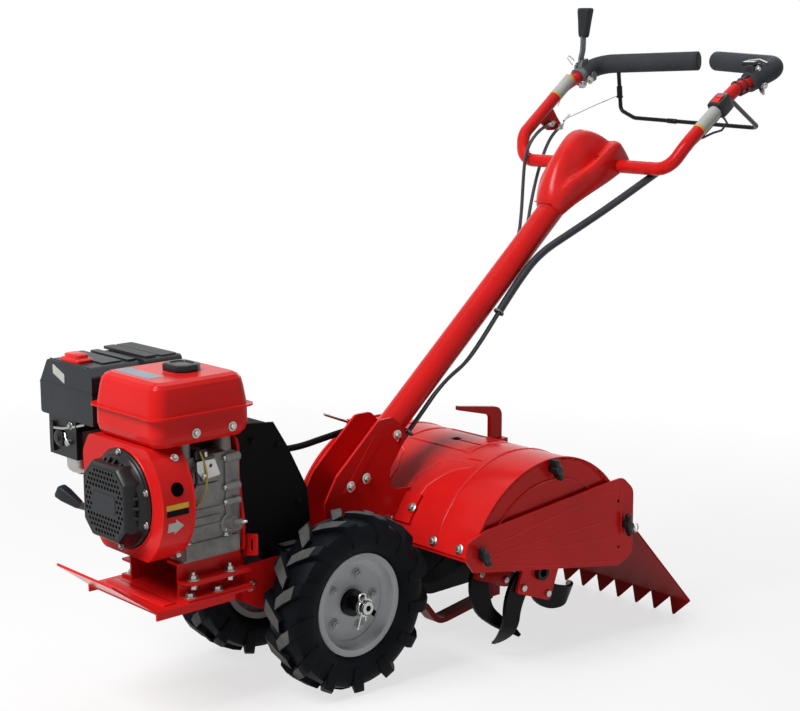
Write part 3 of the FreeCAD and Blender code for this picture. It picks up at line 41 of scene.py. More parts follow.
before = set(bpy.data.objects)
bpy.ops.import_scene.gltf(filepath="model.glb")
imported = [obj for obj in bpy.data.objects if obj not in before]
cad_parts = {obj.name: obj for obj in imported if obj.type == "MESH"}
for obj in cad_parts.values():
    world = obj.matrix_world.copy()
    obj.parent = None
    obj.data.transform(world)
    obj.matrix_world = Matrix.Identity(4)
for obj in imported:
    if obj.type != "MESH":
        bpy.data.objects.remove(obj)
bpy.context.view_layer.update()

# ------------------------------------------------------------------ level frame
# Pieces are drawn in millimetres in the machine's level frame: X towards the engine, Y to the
# operator's left, Z up, the wheel axle above the origin. LEVEL takes them to the parked machine.
MM = 0.001
PARK = math.radians(3.3436)
AXLE_Z = 157.0
TYRE_LOW, TYRE_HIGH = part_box("left_tyre")
AXLE = (TYRE_LOW + TYRE_HIGH) / 2
WHEEL_Y = AXLE.y / MM
LEVEL = (
    Matrix.Translation((AXLE.x, 0.0, AXLE.z))
    @ Matrix.Rotation(PARK, 4, "Y")
    @ Matrix.Scale(MM, 4)
    @ Matrix.Translation((0.0, 0.0, -AXLE_Z))
)
X, Y, Z = Vector((1, 0, 0)), Vector((0, 1, 0)), Vector((0, 0, 1))
SIDES = (1, -1)

# Middles and radii of the round parts; ROTOR is an (x, z) place.
CRANK_Z = 380.0
BLOWER_R = 112.0
ROTOR = (-394.0, 141.0)
SHROUD_R = 217.0
COLUMN_PIVOT = Vector((-128.0, 0.0, 331.0))
COLUMN_SLOPE = math.radians(40.6)
BAR_R = 13.0
BAR_ROUTE = [
    Vector((-766, 0, 856)), Vector((-766, 190, 856)), Vector((-790, 214, 905)),
    Vector((-926, 221, 1005)), Vector((-1053, 234, 1049)), Vector((-1131, 25, 1057)),
]

# Faces that fittings sit on.
DECK_Z = 220.0
FEET_Z = 248.0
PLUG_Y = -194.0
BLOWER_BACK_X, BLOWER_FACE_X = 300.4, 357.8
RECOIL_FACE_X = 394.9
TANK_FRONT_Y, TANK_TOP_Z = 91.5, 574.6
AIR_BOX_X, AIR_BOX_TOP_Z = 340.0, 569.6
CARB_X = 334.0
MUFFLER_TOP_Z = 573.6
BELT_COVER_Y = 64.0
BRACKET_Y = 34.0
END_PLATE_Y = 234.0
SHIELD_Y = 243.1

LEFT_CABLE = [
    (-893, 214, 957.4), (-868, 190, 912), (-794, 150, 850), (-715, 106, 790), (-640, 64, 738),
    (-576, 38, 700), (-520, 34, 650), (-468, 35, 597), (-418, 34, 543), (-380, 33, 508),
    (-343, 30, 489), (-310, 26, 462), (-285, 21, 432), (-250, 17, 396), (-210, 15, 355),
    (-172, 13, 318), (-150, 12, 288),
]
RIGHT_SHIFT_CABLE = [
    (-872, -209.5, 926), (-842, -204, 920), (-812, -196, 908), (-765, -174, 888), (-738, -160, 856),
    (-715, -142, 812), (-680, -112, 764), (-640, -80, 722), (-598, -55, 690), (-545, -40, 648),
    (-490, -34, 600), (-430, -32, 548), (-375, -29, 502), (-320, -24, 452), (-265, -18, 405),
    (-215, -16, 360), (-178, -16, 322), (-156, -17, 290),
]
RIGHT_CLUTCH_CABLE = [
    (-900, -209.5, 918), (-869, -202, 905), (-830, -186, 878), (-790, -164, 847), (-738, -130, 812),
    (-690, -98, 768), (-650, -68, 734), (-600, -45, 702), (-545, -31, 656), (-490, -25, 608),
    (-430, -23, 556), (-375, -19, 508), (-320, -14, 460), (-265, -9, 411), (-215, -5, 366),
    (-178, -6, 332), (-160, -8, 300),
]


def V(*parts):
    """Vector of the given parts."""
    return Vector(parts)


def column_point(along, off=0.0, y=0.0):
    """Point on the column's axis at a distance from the pivot, off to its upper side."""
    c = math.cos(COLUMN_SLOPE)
    s = math.sin(COLUMN_SLOPE)
    return COLUMN_PIVOT + V(-along * c + off * s, y, along * s + off * c)


def arm_point(x, side, run):
    """Point on an arm of the handlebar at x, and the arm's direction, on the given run."""
    a, b = BAR_ROUTE[run].copy(), BAR_ROUTE[run + 1].copy()
    a.y *= side
    b.y *= side
    return a + (b - a) * ((x - a.x) / (b.x - a.x)), (b - a).normalized()


# ------------------------------------------------------------------ outlines
def rounded(corners, steps=4):
    """Outline of (u, v, radius) corners with each radius drawn as an arc."""
    points = []
    count = len(corners)
    for i, (u, v, radius) in enumerate(corners):
        here = V(u, v)
        if radius <= 0:
            points.append(here)
            continue
        back = (V(*corners[i - 1][:2]) - here).normalized()
        ahead = (V(*corners[(i + 1) % count][:2]) - here).normalized()
        half = back.angle(ahead) / 2
        centre = here + (back + ahead).normalized() * (radius / math.sin(half))
        first = here + back * (radius / math.tan(half)) - centre
        last = here + ahead * (radius / math.tan(half)) - centre
        turn = first.angle_signed(last)
        for k in range(steps + 1):
            a = -turn * k / steps
            c, s = math.cos(a), math.sin(a)
            points.append(centre + V(first.x * c - first.y * s, first.x * s + first.y * c))
    return points


def oblong(u0, v0, u1, v1, radius=0):
    """Corners of a rectangle between two opposite ones, all of the same radius."""
    return [(u0, v0, radius), (u1, v0, radius), (u1, v1, radius), (u0, v1, radius)]


def spokes(count):
    """Cosine and sine of each of count even steps round a circle."""
    return [(math.cos(2 * math.pi * k / count), math.sin(2 * math.pi * k / count)) for k in range(count)]


def arc(u, v, radius, start, end, steps):
    """Points of an arc about (u, v) between two angles in degrees."""
    turns = [math.radians(start + (end - start) * k / steps) for k in range(steps + 1)]
    return [(u + radius * math.cos(a), v + radius * math.sin(a)) for a in turns]


def round_hole(u, v, radius, count=16):
    """Outline of a round hole."""
    return [V(u + radius * c, v + radius * s) for c, s in spokes(count)]


def slot_hole(u, v, length, radius, degrees=0.0, count=8):
    """Outline of a straight slot with round ends."""
    a = math.radians(degrees)
    run = V(math.cos(a), math.sin(a)) * (length / 2 - radius)
    out = []
    for k in range(2 * count + 2):
        end = run if k <= count else -run
        t = a - math.pi / 2 + math.pi * (k if k <= count else k - 1) / count
        out.append(V(u, v) + end + V(math.cos(t), math.sin(t)) * radius)
    return out


def placed(axis, u, v, w):
    """Point whose place along axis is w and whose place across it is (u, v)."""
    return {"x": V(w, u, v), "y": V(u, w, v), "z": V(u, v, w)}[axis]


def bent(points, radii, steps=10):
    """Centre line of a bent tube: straight runs with an arc at each corner."""
    points = [V(*p) for p in points]
    out = [points[0]]
    for before, corner, after, radius in zip(points[:-2], points[1:-1], points[2:], radii):
        back = (before - corner).normalized()
        ahead = (after - corner).normalized()
        half = back.angle(ahead) / 2
        cut = radius / math.tan(half)
        start, end = corner + back * cut, corner + ahead * cut
        centre = corner + (back + ahead).normalized() * (radius / math.sin(half))
        for k in range(steps + 1):
            spoke = (start - centre).lerp(end - centre, k / steps).normalized()
            out.append(centre + spoke * radius)
    return out + [points[-1]]


def across(direction):
    """Two unit vectors square to a direction."""
    d = direction.normalized()
    u = d.cross(Z if abs(d.z) < 0.9 else X).normalized()
    return u, d.cross(u)


# ------------------------------------------------------------------ pieces
def added(name, data):
    """New object in the scene."""
    obj = bpy.data.objects.new(name, data)
    bpy.context.scene.collection.objects.link(obj)
    return obj


def seated(obj, body, replaces):
    """Hang a piece on the body that carries it and hide the CAD node that it stands for."""
    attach(obj, body)
    if replaces:
        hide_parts(replaces)


class Maker:
    """Collects the faces of one piece at a time, all for the same body."""

    def __init__(self, body):
        self.body = body
        self.bm = bmesh.new()

    def loft(self, rings, caps=True, loop=False):
        """Skin over rings of points with the same count; caps closes both ends."""
        rows = [[self.bm.verts.new(p) for p in ring] for ring in rings]
        pairs = list(zip(rows[:-1], rows[1:]))
        if loop:
            pairs.append((rows[-1], rows[0]))
        for low, high in pairs:
            count = len(low)
            for i in range(count):
                j = (i + 1) % count
                self.bm.faces.new((low[i], low[j], high[j], high[i]))
        if caps and not loop:
            self.bm.faces.new(rows[0][::-1])
            self.bm.faces.new(rows[-1])

    def drawn(self, outline, axis, places):
        """Solid of one (u, v) outline carried through places along axis."""
        self.loft([[placed(axis, u, v, w) for u, v in outline] for w in places])

    def prism(self, corners, axis, w0, w1, steps=4):
        """Straight prism of a rounded outline between two places along axis."""
        self.drawn(rounded(corners, steps), axis, (w0, w1))

    def box(self, x0, x1, y0, y1, z0, z1):
        """Box between two corners."""
        self.prism(oblong(x0, y0, x1, y1), "z", z0, z1)

    def domed(self, corners, middle, levels):
        """Upright solid whose outline shrinks about its middle at (height, share) levels."""
        outline = [p - V(*middle) for p in rounded(corners)]
        self.loft([[(p * share + V(*middle)).to_3d() + Z * z for p in outline] for z, share in levels])

    def turned(self, origin, axis, profile, segments=24, caps=True, loop=False):
        """Solid of revolution from (along, radius) points about axis through origin."""
        d = V(*axis).normalized()
        u, v = across(d)
        rings = []
        for along, radius in profile:
            middle = V(*origin) + d * along
            rings.append([middle + (u * c + v * s) * radius for c, s in spokes(segments)])
        self.loft(rings, caps, loop)

    def tube(self, points, radius, segments=10, closed=False):
        """Round rod through points; radius is one size or a size for each point."""
        points = [V(*p) for p in points]
        rings = []
        u = None
        count = len(points)
        for i, p in enumerate(points):
            before = points[i - 1] if i or closed else p
            after = points[(i + 1) % count] if i < count - 1 or closed else p
            d = (after - before).normalized()
            if u is None:
                u = across(d)[0]
            u = (u - d * u.dot(d)).normalized()
            v = d.cross(u)
            r = radius[i] if isinstance(radius, list) else radius
            rings.append([p + (u * c + v * s) * r for c, s in spokes(segments)])
        self.loft(rings, not closed, closed)

    def plate(self, outline, holes, axis, w0, w1):
        """Flat plate between w0 and w1 along axis, with holes given as further outlines."""
        edges = []
        for line in [outline] + list(holes):
            verts = [self.bm.verts.new(placed(axis, p[0], p[1], w0)) for p in line]
            edges += [self.bm.edges.new((verts[i - 1], verts[i])) for i in range(len(verts))]
        made = bmesh.ops.triangle_fill(self.bm, use_beauty=True, edges=edges)["geom"]
        faces = [g for g in made if isinstance(g, bmesh.types.BMFace)]
        grown = bmesh.ops.extrude_face_region(self.bm, geom=faces, use_keep_orig=True)["geom"]
        verts = [g for g in grown if isinstance(g, bmesh.types.BMVert)]
        bmesh.ops.translate(self.bm, verts=verts, vec=placed(axis, 0, 0, w1 - w0))

    def wrap(self, axis, centre, inner, outer, angles, places, steps=10, pointed=False):
        """Patch of a curved sheet between two radii, two angles in degrees and two places."""
        near, far = places
        rings = []
        for k in range(steps + 1):
            a = math.radians(angles[0] + (angles[1] - angles[0]) * k / steps)
            c, s = math.cos(a), math.sin(a)
            reach = max(0.03, 1 - abs(2 * k / steps - 1)) if pointed else 1
            end = near + (far - near) * reach
            corners = ((inner, near), (outer, near), (outer, end), (inner, end))
            rings.append([placed(axis, centre[0] + r * c, centre[1] + r * s, w) for r, w in corners])
        self.loft(rings)

    def ridge(self, axis, centre, radius, line, width, height, steps=8):
        """Raised bead on a curved sheet along (place, degrees) points."""
        dots = []
        for (w0, a0), (w1, a1) in zip(line[:-1], line[1:]):
            dots += [(w0 + (w1 - w0) * k / steps, a0 + (a1 - a0) * k / steps) for k in range(steps)]
        dots.append(line[-1])
        flat = [V(w, math.radians(a) * radius) for w, a in dots]
        last = len(flat) - 1
        section = ((-1.0, -0.8), (-0.9, 0.1), (-0.4, 0.85), (0.0, 1.0), (0.4, 0.85), (0.9, 0.1), (1.0, -0.8))
        rings = []
        for i, p in enumerate(flat):
            run = (flat[min(i + 1, last)] - flat[max(i - 1, 0)]).normalized()
            cross = V(-run.y, run.x)
            taper = min(1.0, i / 2, (last - i) / 2)
            ring = []
            for off, up in section:
                q = p + cross * (off * width / 2)
                r = radius + (up * height * taper if up > 0 else up)
                a = q.y / radius
                ring.append(placed(axis, centre[0] + r * math.cos(a), centre[1] + r * math.sin(a), q.x))
            rings.append(ring)
        self.loft(rings)

    def bolt(self, point, axis, flats=13.0, washer=True, shank=0.0):
        """Hexagon bolt head on its washer, seated at point and pointing along axis."""
        r = flats / math.sqrt(3)
        foot = 0.0
        if washer:
            self.turned(point, axis, [(0, flats * 0.85), (1.2, flats * 0.85), (1.6, flats * 0.8)], 20)
            foot = 1.4
        high = foot + flats * 0.46
        self.turned(point, axis, [(foot, r), (high - 1.0, r), (high, r * 0.84)], 6)
        self.turned(point, axis, [(high - 0.2, r * 0.62), (high + 0.2, r * 0.55)], 16)
        if shank:
            thread = [(high, flats * 0.28), (high + shank - 1, flats * 0.28), (high + shank, flats * 0.2)]
            self.turned(point, axis, thread, 12)

    def piece(self, name, finishes, bevel=0.0, replaces=None, smooth=38, subdivide=0):
        """Finished object with its finishes, hung on its body; the maker is then ready for the next."""
        bmesh.ops.recalc_face_normals(self.bm, faces=self.bm.faces)
        mesh = bpy.data.meshes.new(name)
        self.bm.to_mesh(mesh)
        self.bm.clear()
        mesh.transform(LEVEL)
        obj = added(name, mesh)
        for finish in finishes.split():
            mesh.materials.append(FINISHES[finish])
        mesh.polygons.foreach_set("use_smooth", [True] * len(mesh.polygons))
        mesh.set_sharp_from_angle(angle=math.radians(smooth))
        if subdivide:
            modifier = obj.modifiers.new("soften", "SUBSURF")
            modifier.levels = subdivide
            modifier.render_levels = subdivide
        if bevel:
            modifier = obj.modifiers.new("edges", "BEVEL")
            modifier.width = bevel * MM
            modifier.segments = 2
            modifier.limit_method = "ANGLE"
            modifier.angle_limit = math.radians(40)
            modifier.harden_normals = True
        seated(obj, self.body, replaces)


def cable_piece(name, points, radius, body, finish, replaces=None):
    """Round cable on one smooth line through its clips."""
    curve = bpy.data.curves.new(name, "CURVE")
    curve.dimensions = "3D"
    curve.bevel_depth = radius * MM
    curve.bevel_resolution = 4
    curve.resolution_u = 6
    curve.use_fill_caps = True
    spline = curve.splines.new("NURBS")
    spline.points.add(len(points) - 1)
    for dot, p in zip(spline.points, points):
        dot.co = (*(LEVEL @ V(*p)), 1.0)
    spline.order_u = 3
    spline.use_endpoint_u = True
    curve.materials.append(FINISHES[finish])
    seated(added(name, curve), body, replaces)


# ------------------------------------------------------------------ materials
def fixed(shader, **values):
    """Shader node with constants set by socket name, underscores for spaces."""
    for name, value in values.items():
        shader.inputs[name.replace("_", " ")].default_value = value
    return shader


def node(nodes, kind, **values):
    """New shader node with its constants."""
    return fixed(nodes.new("ShaderNode" + kind), **values)


class Finish:
    """One procedural material around a Principled shader."""

    def __init__(self, name):
        self.material = bpy.data.materials.new(name)
        self.material.use_nodes = True
        self.nodes = self.material.node_tree.nodes
        self.links = self.material.node_tree.links
        self.shader = self.nodes["Principled BSDF"]
        self.place = self.nodes.new("ShaderNodeTexCoord").outputs["Object"]

    def noise(self, scale, detail=4.0, roughness=0.55):
        """Noise value at a scale per metre."""
        made = node(self.nodes, "TexNoise", Scale=scale, Detail=detail, Roughness=roughness)
        self.links.new(self.place, made.inputs["Vector"])
        return made.outputs["Fac"]

    def ramp(self, value, *stops):
        """Colours along a value from (position, colour) stops."""
        made = node(self.nodes, "ValToRGB")
        ramp = made.color_ramp
        while len(ramp.elements) < len(stops):
            ramp.elements.new(0.5)
        for element, (position, colour) in zip(ramp.elements, stops):
            element.position = position
            element.color = (*colour, 1.0)
        self.links.new(value, made.inputs["Fac"])
        return made.outputs["Color"]

    def mix(self, factor, first, second):
        """Blend of two colour outputs."""
        made = node(self.nodes, "Mix")
        made.data_type = "RGBA"
        self.links.new(factor, made.inputs["Factor"])
        self.links.new(first, made.inputs["A"])
        self.links.new(second, made.inputs["B"])
        return made.outputs["Result"]

    def colour(self, value):
        """Feed the base colour."""
        self.links.new(value, self.shader.inputs["Base Color"])

    def rough(self, value, low, high):
        """Feed the roughness, from low to high along a value."""
        made = node(self.nodes, "MapRange", To_Min=low, To_Max=high)
        self.links.new(value, made.inputs["Value"])
        self.links.new(made.outputs["Result"], self.shader.inputs["Roughness"])

    def bump(self, height, strength, distance):
        """Bump from a height value, distance in millimetres."""
        made = node(self.nodes, "Bump", Strength=strength, Distance=distance * MM)
        self.links.new(height, made.inputs["Height"])
        self.links.new(made.outputs["Normal"], self.shader.inputs["Normal"])


def lighter(colour, factor):
    """Colour with its brightness scaled."""
    return tuple(min(1.0, c * factor) for c in colour)


def painted(name, colour, rough, gloss=0.11, peel=0.02, dust=0.06):
    """Sprayed enamel: faint orange peel, drifts in the tone and a little dust in patches."""
    f = Finish(name)
    tone = f.ramp(f.noise(7.0, 5.0), (0.3, lighter(colour, 0.88)), (0.7, lighter(colour, 1.08)))
    haze = f.ramp(f.noise(26.0, 7.0, 0.7), (0.52, (0, 0, 0)), (0.80, (dust, dust, dust)))
    grime = f.ramp(f.noise(90.0), (0.0, lighter(colour, 0.45)), (1.0, lighter(colour, 0.6)))
    f.colour(f.mix(haze, tone, grime))
    f.rough(f.noise(35.0, 4.0), rough - 0.05, rough + 0.07)
    f.bump(f.noise(110.0, 1.0), peel, 0.2)
    fixed(f.shader, Specular_IOR_Level=gloss)
    return f.material


def moulded(name, colour, rough, grain=0.2, grain_scale=900.0, gloss=0.2):
    """Moulded plastic with a fine leather grain and slight scuffs."""
    f = Finish(name)
    f.colour(f.ramp(f.noise(14.0, 5.0), (0.3, lighter(colour, 0.85)), (0.72, lighter(colour, 1.18))))
    f.rough(f.noise(50.0, 5.0), rough - 0.08, rough + 0.08)
    f.bump(f.noise(grain_scale, 2.0), grain, 0.15)
    fixed(f.shader, Specular_IOR_Level=gloss)
    return f.material


def metal(name, colour, rough, metallic=1.0):
    """Bare or plated metal with cloudy tone and a fine surface."""
    f = Finish(name)
    f.colour(f.ramp(f.noise(28.0, 5.0), (0.25, lighter(colour, 0.78)), (0.75, lighter(colour, 1.12))))
    f.rough(f.noise(80.0, 4.0), rough - 0.08, rough + 0.12)
    f.bump(f.noise(700.0, 3.0), 0.15, 0.3)
    fixed(f.shader, Metallic=metallic)
    return f.material


def cast(name, colour):
    """Sand-cast alloy: coarse skin, darker in its hollows."""
    f = Finish(name)
    hollow, ridge = lighter(colour, 0.55), lighter(colour, 1.2)
    f.colour(f.ramp(f.noise(45.0, 8.0, 0.65), (0.25, hollow), (0.6, colour), (0.85, ridge)))
    f.rough(f.noise(90.0, 5.0), 0.40, 0.66)
    f.bump(f.noise(420.0, 6.0, 0.7), 0.4, 0.5)
    fixed(f.shader, Metallic=0.35, Specular_IOR_Level=0.3)
    return f.material


def rubbery(name, colour, rough, dust, grain=0.3, grain_scale=700.0, gloss=0.12):
    """Rubber or foam with dusty patches and a fine skin."""
    f = Finish(name)
    f.colour(f.ramp(f.noise(22.0, 6.0, 0.6), (0.35, colour), (0.8, dust)))
    f.rough(f.noise(60.0, 4.0), rough - 0.1, rough + 0.08)
    f.bump(f.noise(grain_scale, 4.0, 0.6), grain, 0.4)
    fixed(f.shader, Specular_IOR_Level=gloss)
    return f.material


FINISHES = {}

def build_finishes(colours):
    """Mix every material of the machine, by name."""
    red = tuple(colours.red)
    rim = tuple(colours.rim)
    FINISHES.update({
        "red": painted("red_enamel", red, 0.20),
        "red_shell": moulded("red_moulding", red, 0.24, 0.06, 500.0, 0.2),
        # Red darkened to 0.42 as painted shade, with dust patches, for the depth skid and the console's screw
        # cups.
        "red_painted_shade": painted("skid_enamel_painted_shade", lighter(red, 0.42), 0.38, 0.12, dust=0.3),
        "rim": painted("wheel_enamel", rim, 0.42, 0.2, dust=0.1),
        # Red darkened to 0.55 as painted shade for the levelling comb.
        "comb_red_painted_shade": painted("comb_enamel_painted_shade", lighter(red, 0.55), 0.42, 0.04, dust=0.1),
        "black_paint": painted("black_enamel", (0.004, 0.004, 0.005), 0.30, 0.15, dust=0.2),
        "tine_paint": painted("tine_enamel", (0.0022, 0.0024, 0.003), 0.34, 0.07, dust=0.3),
        "case_black": painted("gear_case_enamel", (0.006, 0.006, 0.007), 0.5, 0.12, 0.3, 0.2),
        "matt_black": moulded("belt_cover_plastic", (0.0022, 0.0024, 0.0026), 0.60, 0.12, gloss=0.06),
        "charcoal": moulded("air_box_plastic", (0.015, 0.018, 0.022), 0.40),
        "black_plastic": moulded("starter_plastic", (0.007, 0.0075, 0.009), 0.30, 0.12, gloss=0.25),
        "foam": rubbery("grip_foam", (0.032, 0.036, 0.042), 0.75, (0.046, 0.051, 0.059), 0.3, 900.0, 0.15),
        "tyre": rubbery(
            "tyre_rubber", (0.0022, 0.0027, 0.0042), 0.50, (0.0055, 0.0066, 0.0098), 0.25, gloss=0.06),
        "tread": rubbery("worn_tread", (0.055, 0.058, 0.058), 0.85, (0.13, 0.13, 0.125), 0.6),
        "sheath": rubbery(
            "cable_sheath", (0.011, 0.013, 0.019), 0.38, (0.022, 0.025, 0.034), 0.08, gloss=0.3),
        "alloy": cast("cast_alloy", (0.21, 0.207, 0.197)),
        "zinc": metal("zinc_plate", (0.42, 0.42, 0.40), 0.30),
        "steel_grey": metal("painted_steel", (0.12, 0.13, 0.14), 0.42, 0.5),
        "steel": metal("bright_steel", (0.50, 0.50, 0.49), 0.24),
        "muffler": metal("heat_black", (0.012, 0.013, 0.015), 0.5, 0.3),
        # Near-black finish that paints the shade inside holes, slots, bores and sockets.
        "hole": moulded("deep_shadow", (0.0015, 0.0015, 0.0015), 0.8, gloss=0.02),
        "label": moulded("plain_label", (0.40, 0.40, 0.38), 0.35, 0.03),
        "label_blue": moulded("plain_grey_label", (0.20, 0.24, 0.28), 0.35, 0.03),
        "label_yellow": moulded("plain_band", (0.55, 0.36, 0.03), 0.35, 0.03),
        "wire_yellow": moulded("yellow_lead", (0.42, 0.30, 0.04), 0.4, 0.03),
    })


# The CAD nodes that stay in view, by finish.
NODE_FINISH = {
    "red": (
        "engine_deck engine_rails frame_side_plates fuel_tank belt_back_plate handle_bracket tine_shroud "
        "shroud_beam shroud_ends side_shield_left side_shield_right rotor_flanges depth_stake "
        "handle_column handlebar"
    ),
    # The comb's red is darkened as painted shade.
    "comb_red_painted_shade": "levelling_comb",
    # The skid's red is darkened as painted shade, with dust patches.
    "red_painted_shade": "depth_skid",
    "rim": "left_rim right_rim",
    "black_paint": "left_half_shaft right_half_shaft rotor_shaft",
    "case_black": "transmission_case tine_drive_case",
    "matt_black": "belt_cover",
    "charcoal": "air_cleaner",
    "alloy": "crankcase cylinder_block carburettor oil_filler",
    "muffler": "muffler",
}


def finish_cad_nodes():
    """Give every CAD node that stays its material."""
    for finish, names in NODE_FINISH.items():
        for name in names.split():
            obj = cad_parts[name]
            if not obj.material_slots:
                obj.data.materials.append(FINISHES[finish])
            for place in obj.material_slots:
                place.material = FINISHES[finish]


# ------------------------------------------------------------------ wheels
LUG_STATIONS = [
    # base (radius, width), top (radius, width), lean in degrees, half thickness at base and top
    (110, 43.6, 111, 45.6, 0.0, 10, 8), (122, 44.0, 124, 46.0, -0.3, 12, 9),
    (133, 42.0, 140, 46.0, -1.2, 13, 9.5), (140, 36.0, 151, 42.0, -3.0, 14, 10),
    (144, 24.0, 156, 31.0, -6.5, 14, 10.5), (145, 8.0, 157, 10.0, -12.0, 14, 10.5),
    (145, -7.0, 156, -6.0, -17.0, 13, 9),
]
TYRE_PROFILE = [
    (27.8, 82.4), (28.2, 90.6), (32.0, 92.4), (38.0, 97.0), (41.8, 105.0), (43.4, 114.0), (43.4, 124.0),
    (41.6, 133.0), (36.0, 140.5), (24.0, 145.0), (0.0, 146.5),
]
TYRE_BORE = [(17.0, 92.0), (17.0, 82.4)]
WORN_R, WORN_EDGE_R, WORN_WIDTH = 152.5, 150.0, 26.0
DISH_PROFILE = [
    (8.3, 30), (8.3, 66), (9.4, 71), (13, 75.5), (20, 79.5), (27, 82.5), (30.2, 85.2), (31.2, 88.4),
    (30.4, 89.8), (28.4, 88), (26, 85), (18, 81.6), (10, 77), (6.0, 71), (5.2, 66), (5.2, 30),
]
DISC_FACE = 8.0
WHEEL_BOLT_CIRCLE = 49.0
AXLE_END_Y = 184.0


def wheel_place(side, radius, degrees, offset):
    """Point on a wheel by radius, angle up from the front and offset outwards from its middle."""
    a = math.radians(degrees)
    return V(radius * math.cos(a), side * (WHEEL_Y + offset), AXLE_Z + radius * math.sin(a))


def tyre(word, side, lugs):
    """Tyre carcass with two staggered rows of chevron lugs, pale where their crowns are worn."""
    m = Maker(word + "_wheel")
    half = TYRE_PROFILE + [(-w, r) for w, r in reversed(TYRE_PROFILE[:-1])]
    ring = half + [(-w, r) for w, r in reversed(TYRE_BORE)] + TYRE_BORE
    m.turned((0, side * WHEEL_Y, AXLE_Z), Y * side, ring, 96, loop=True)
    for row in SIDES:
        for k in range(lugs):
            start = 360 / lugs * (k + (0.5 if row < 0 else 0.0))
            rings = []
            for base_r, base_w, top_r, top_w, lean, wide, narrow in LUG_STATIONS:
                b = math.degrees(wide / base_r)
                t = math.degrees(narrow / top_r)
                section = (
                    (base_r - 3, -b, base_w), (top_r - 1.2, -t - 0.5, top_w), (top_r, -t, top_w),
                    (top_r, t, top_w), (top_r - 1.2, t + 0.5, top_w), (base_r - 3, b, base_w),
                )
                rings.append([wheel_place(side, r, start + lean + turn, row * w) for r, turn, w in section])
            m.loft(rings)
    for face in m.bm.faces:
        middle = face.calc_center_median()
        crown = math.hypot(middle.x, middle.z - AXLE_Z) > WORN_R
        if crown and len(face.verts) == 4 and abs(abs(middle.y) - WHEEL_Y) < WORN_WIDTH:
            if min(math.hypot(v.co.x, v.co.z - AXLE_Z) for v in face.verts) > WORN_EDGE_R:
                face.material_index = 1
    m.piece(word + "_tread", "tyre tread", 1.3, word + "_tyre", 30)


def wheel_fittings(word, side):
    """Wheel bolts, disc slot, dish, axle nut and its hairpin clip."""
    body = word + "_wheel"
    out = (0, side, 0)
    m = Maker(body)
    for degrees in (105, 33, -39, -111, 177):
        at = wheel_place(side, WHEEL_BOLT_CIRCLE, degrees, DISC_FACE)
        m.turned(at, out, [(0, 10.5), (1.6, 10.5), (2.2, 9.6)], 24)
        m.turned(at, out, [(2.0, 7.6), (6.4, 7.6), (7.4, 6.2)], 6)
        m.turned(at, out, [(7.2, 4.0), (9.2, 4.0), (9.8, 3.2)], 14)
    hub_ring = [(0, 27.5), (1.2, 27.5), (1.2, 24.4), (0, 24.4)]
    m.turned(wheel_place(side, 0, 0, DISC_FACE), out, hub_ring, 40, loop=True)
    m.piece(body + "_bolts", "rim", smooth=30)

    centre = wheel_place(side, 63, -148.2, DISC_FACE)
    along = wheel_place(side, 1, -139, 0) - wheel_place(side, 0, 0, 0)
    cross = V(-along.z, 0, along.x)
    outline = []
    for k, (c, s) in enumerate(spokes(24)):
        end = 5 if k < 12 else -5
        outline.append(centre + along * end + (cross * c + along * s) * 5.2)
    m.loft([[p + V(0, side * lift, 0) for p in outline] for lift in (0.15, 0.6)])
    # A thin near-black patch over the disc: painted shade of the slot.
    m.piece(body + "_disc_slot_shade", "hole")

    m.turned((0, side * WHEEL_Y, AXLE_Z), out, DISH_PROFILE, 96, loop=True)
    m.piece(body + "_dish", "rim")

    end = (0, side * AXLE_END_Y, AXLE_Z)
    inward = (0, -side, 0)
    m.turned(end, inward, [(-0.4, 9.4), (-0.4, 11.2), (1.6, 12.7), (3.0, 12.7)], 32)
    collar = [(6, 12.8), (6, 16.5), (7, 17.2), (13, 17.2), (14, 16.5), (14, 12.8)]
    m.turned(end, inward, collar, 28, caps=False)
    m.turned((0, side * 176.0, AXLE_Z - 24), Z, [(0, 1.5), (1, 2.2), (47, 2.2), (48, 1.5)], 12)
    clip = [(20, 179.5, AXLE_Z - 34), (13, 179, AXLE_Z - 14), (6, 178.5, AXLE_Z + 6)]
    clip += [(x, 178.5, z) for x, z in arc(9, AXLE_Z + 20, 7, -90, 180, 12)]
    m.tube([(x, side * y, z) for x, y, z in clip], 1.5, 8)
    m.piece(body + "_axle_clip", "steel")

    m.turned(end, inward, [(-0.9, 5.4), (-0.5, 5.4)], 6)
    # A near-black hexagon in the axle's end: painted shade of its socket.
    m.piece(body + "_axle_socket_shade", "hole")


# ------------------------------------------------------------------ sizes and colours
class TillerSizes(bpy.types.PropertyGroup):
    """Sizes that a user may change."""

    lug_count: IntProperty(
        name="Lugs", description="Lugs in each row of a tyre", default=13, min=8, max=24)
    bolt_flats: FloatProperty(
        name="Bolt heads", description="Width across the flats of the frame bolts", default=0.013,
        unit="LENGTH")
    cable_diameter: FloatProperty(
        name="Cables", description="Diameter of the control cables", default=0.007, unit="LENGTH")
    grip_radius: FloatProperty(
        name="Grips", description="Radius of the foam grips", default=0.0203, unit="LENGTH")
    lens: FloatProperty(
        name="Lens", description="Focal length of the camera on a 36 mm sensor", default=73.79,
        subtype="DISTANCE_CAMERA")


class TillerColours(bpy.types.PropertyGroup):
    """Colours that a user may change."""

    red: FloatVectorProperty(
        name="Red", description="Enamel of the frame and shroud", subtype="COLOR",
        default=(0.60, 0.011, 0.010))
    rim: FloatVectorProperty(
        name="Rims", description="Enamel of the wheel rims", subtype="COLOR", default=(0.44, 0.46, 0.475))
    floor: FloatVectorProperty(
        name="Floor", description="Tone of the studio floor", subtype="COLOR", default=(0.90, 0.90, 0.90))


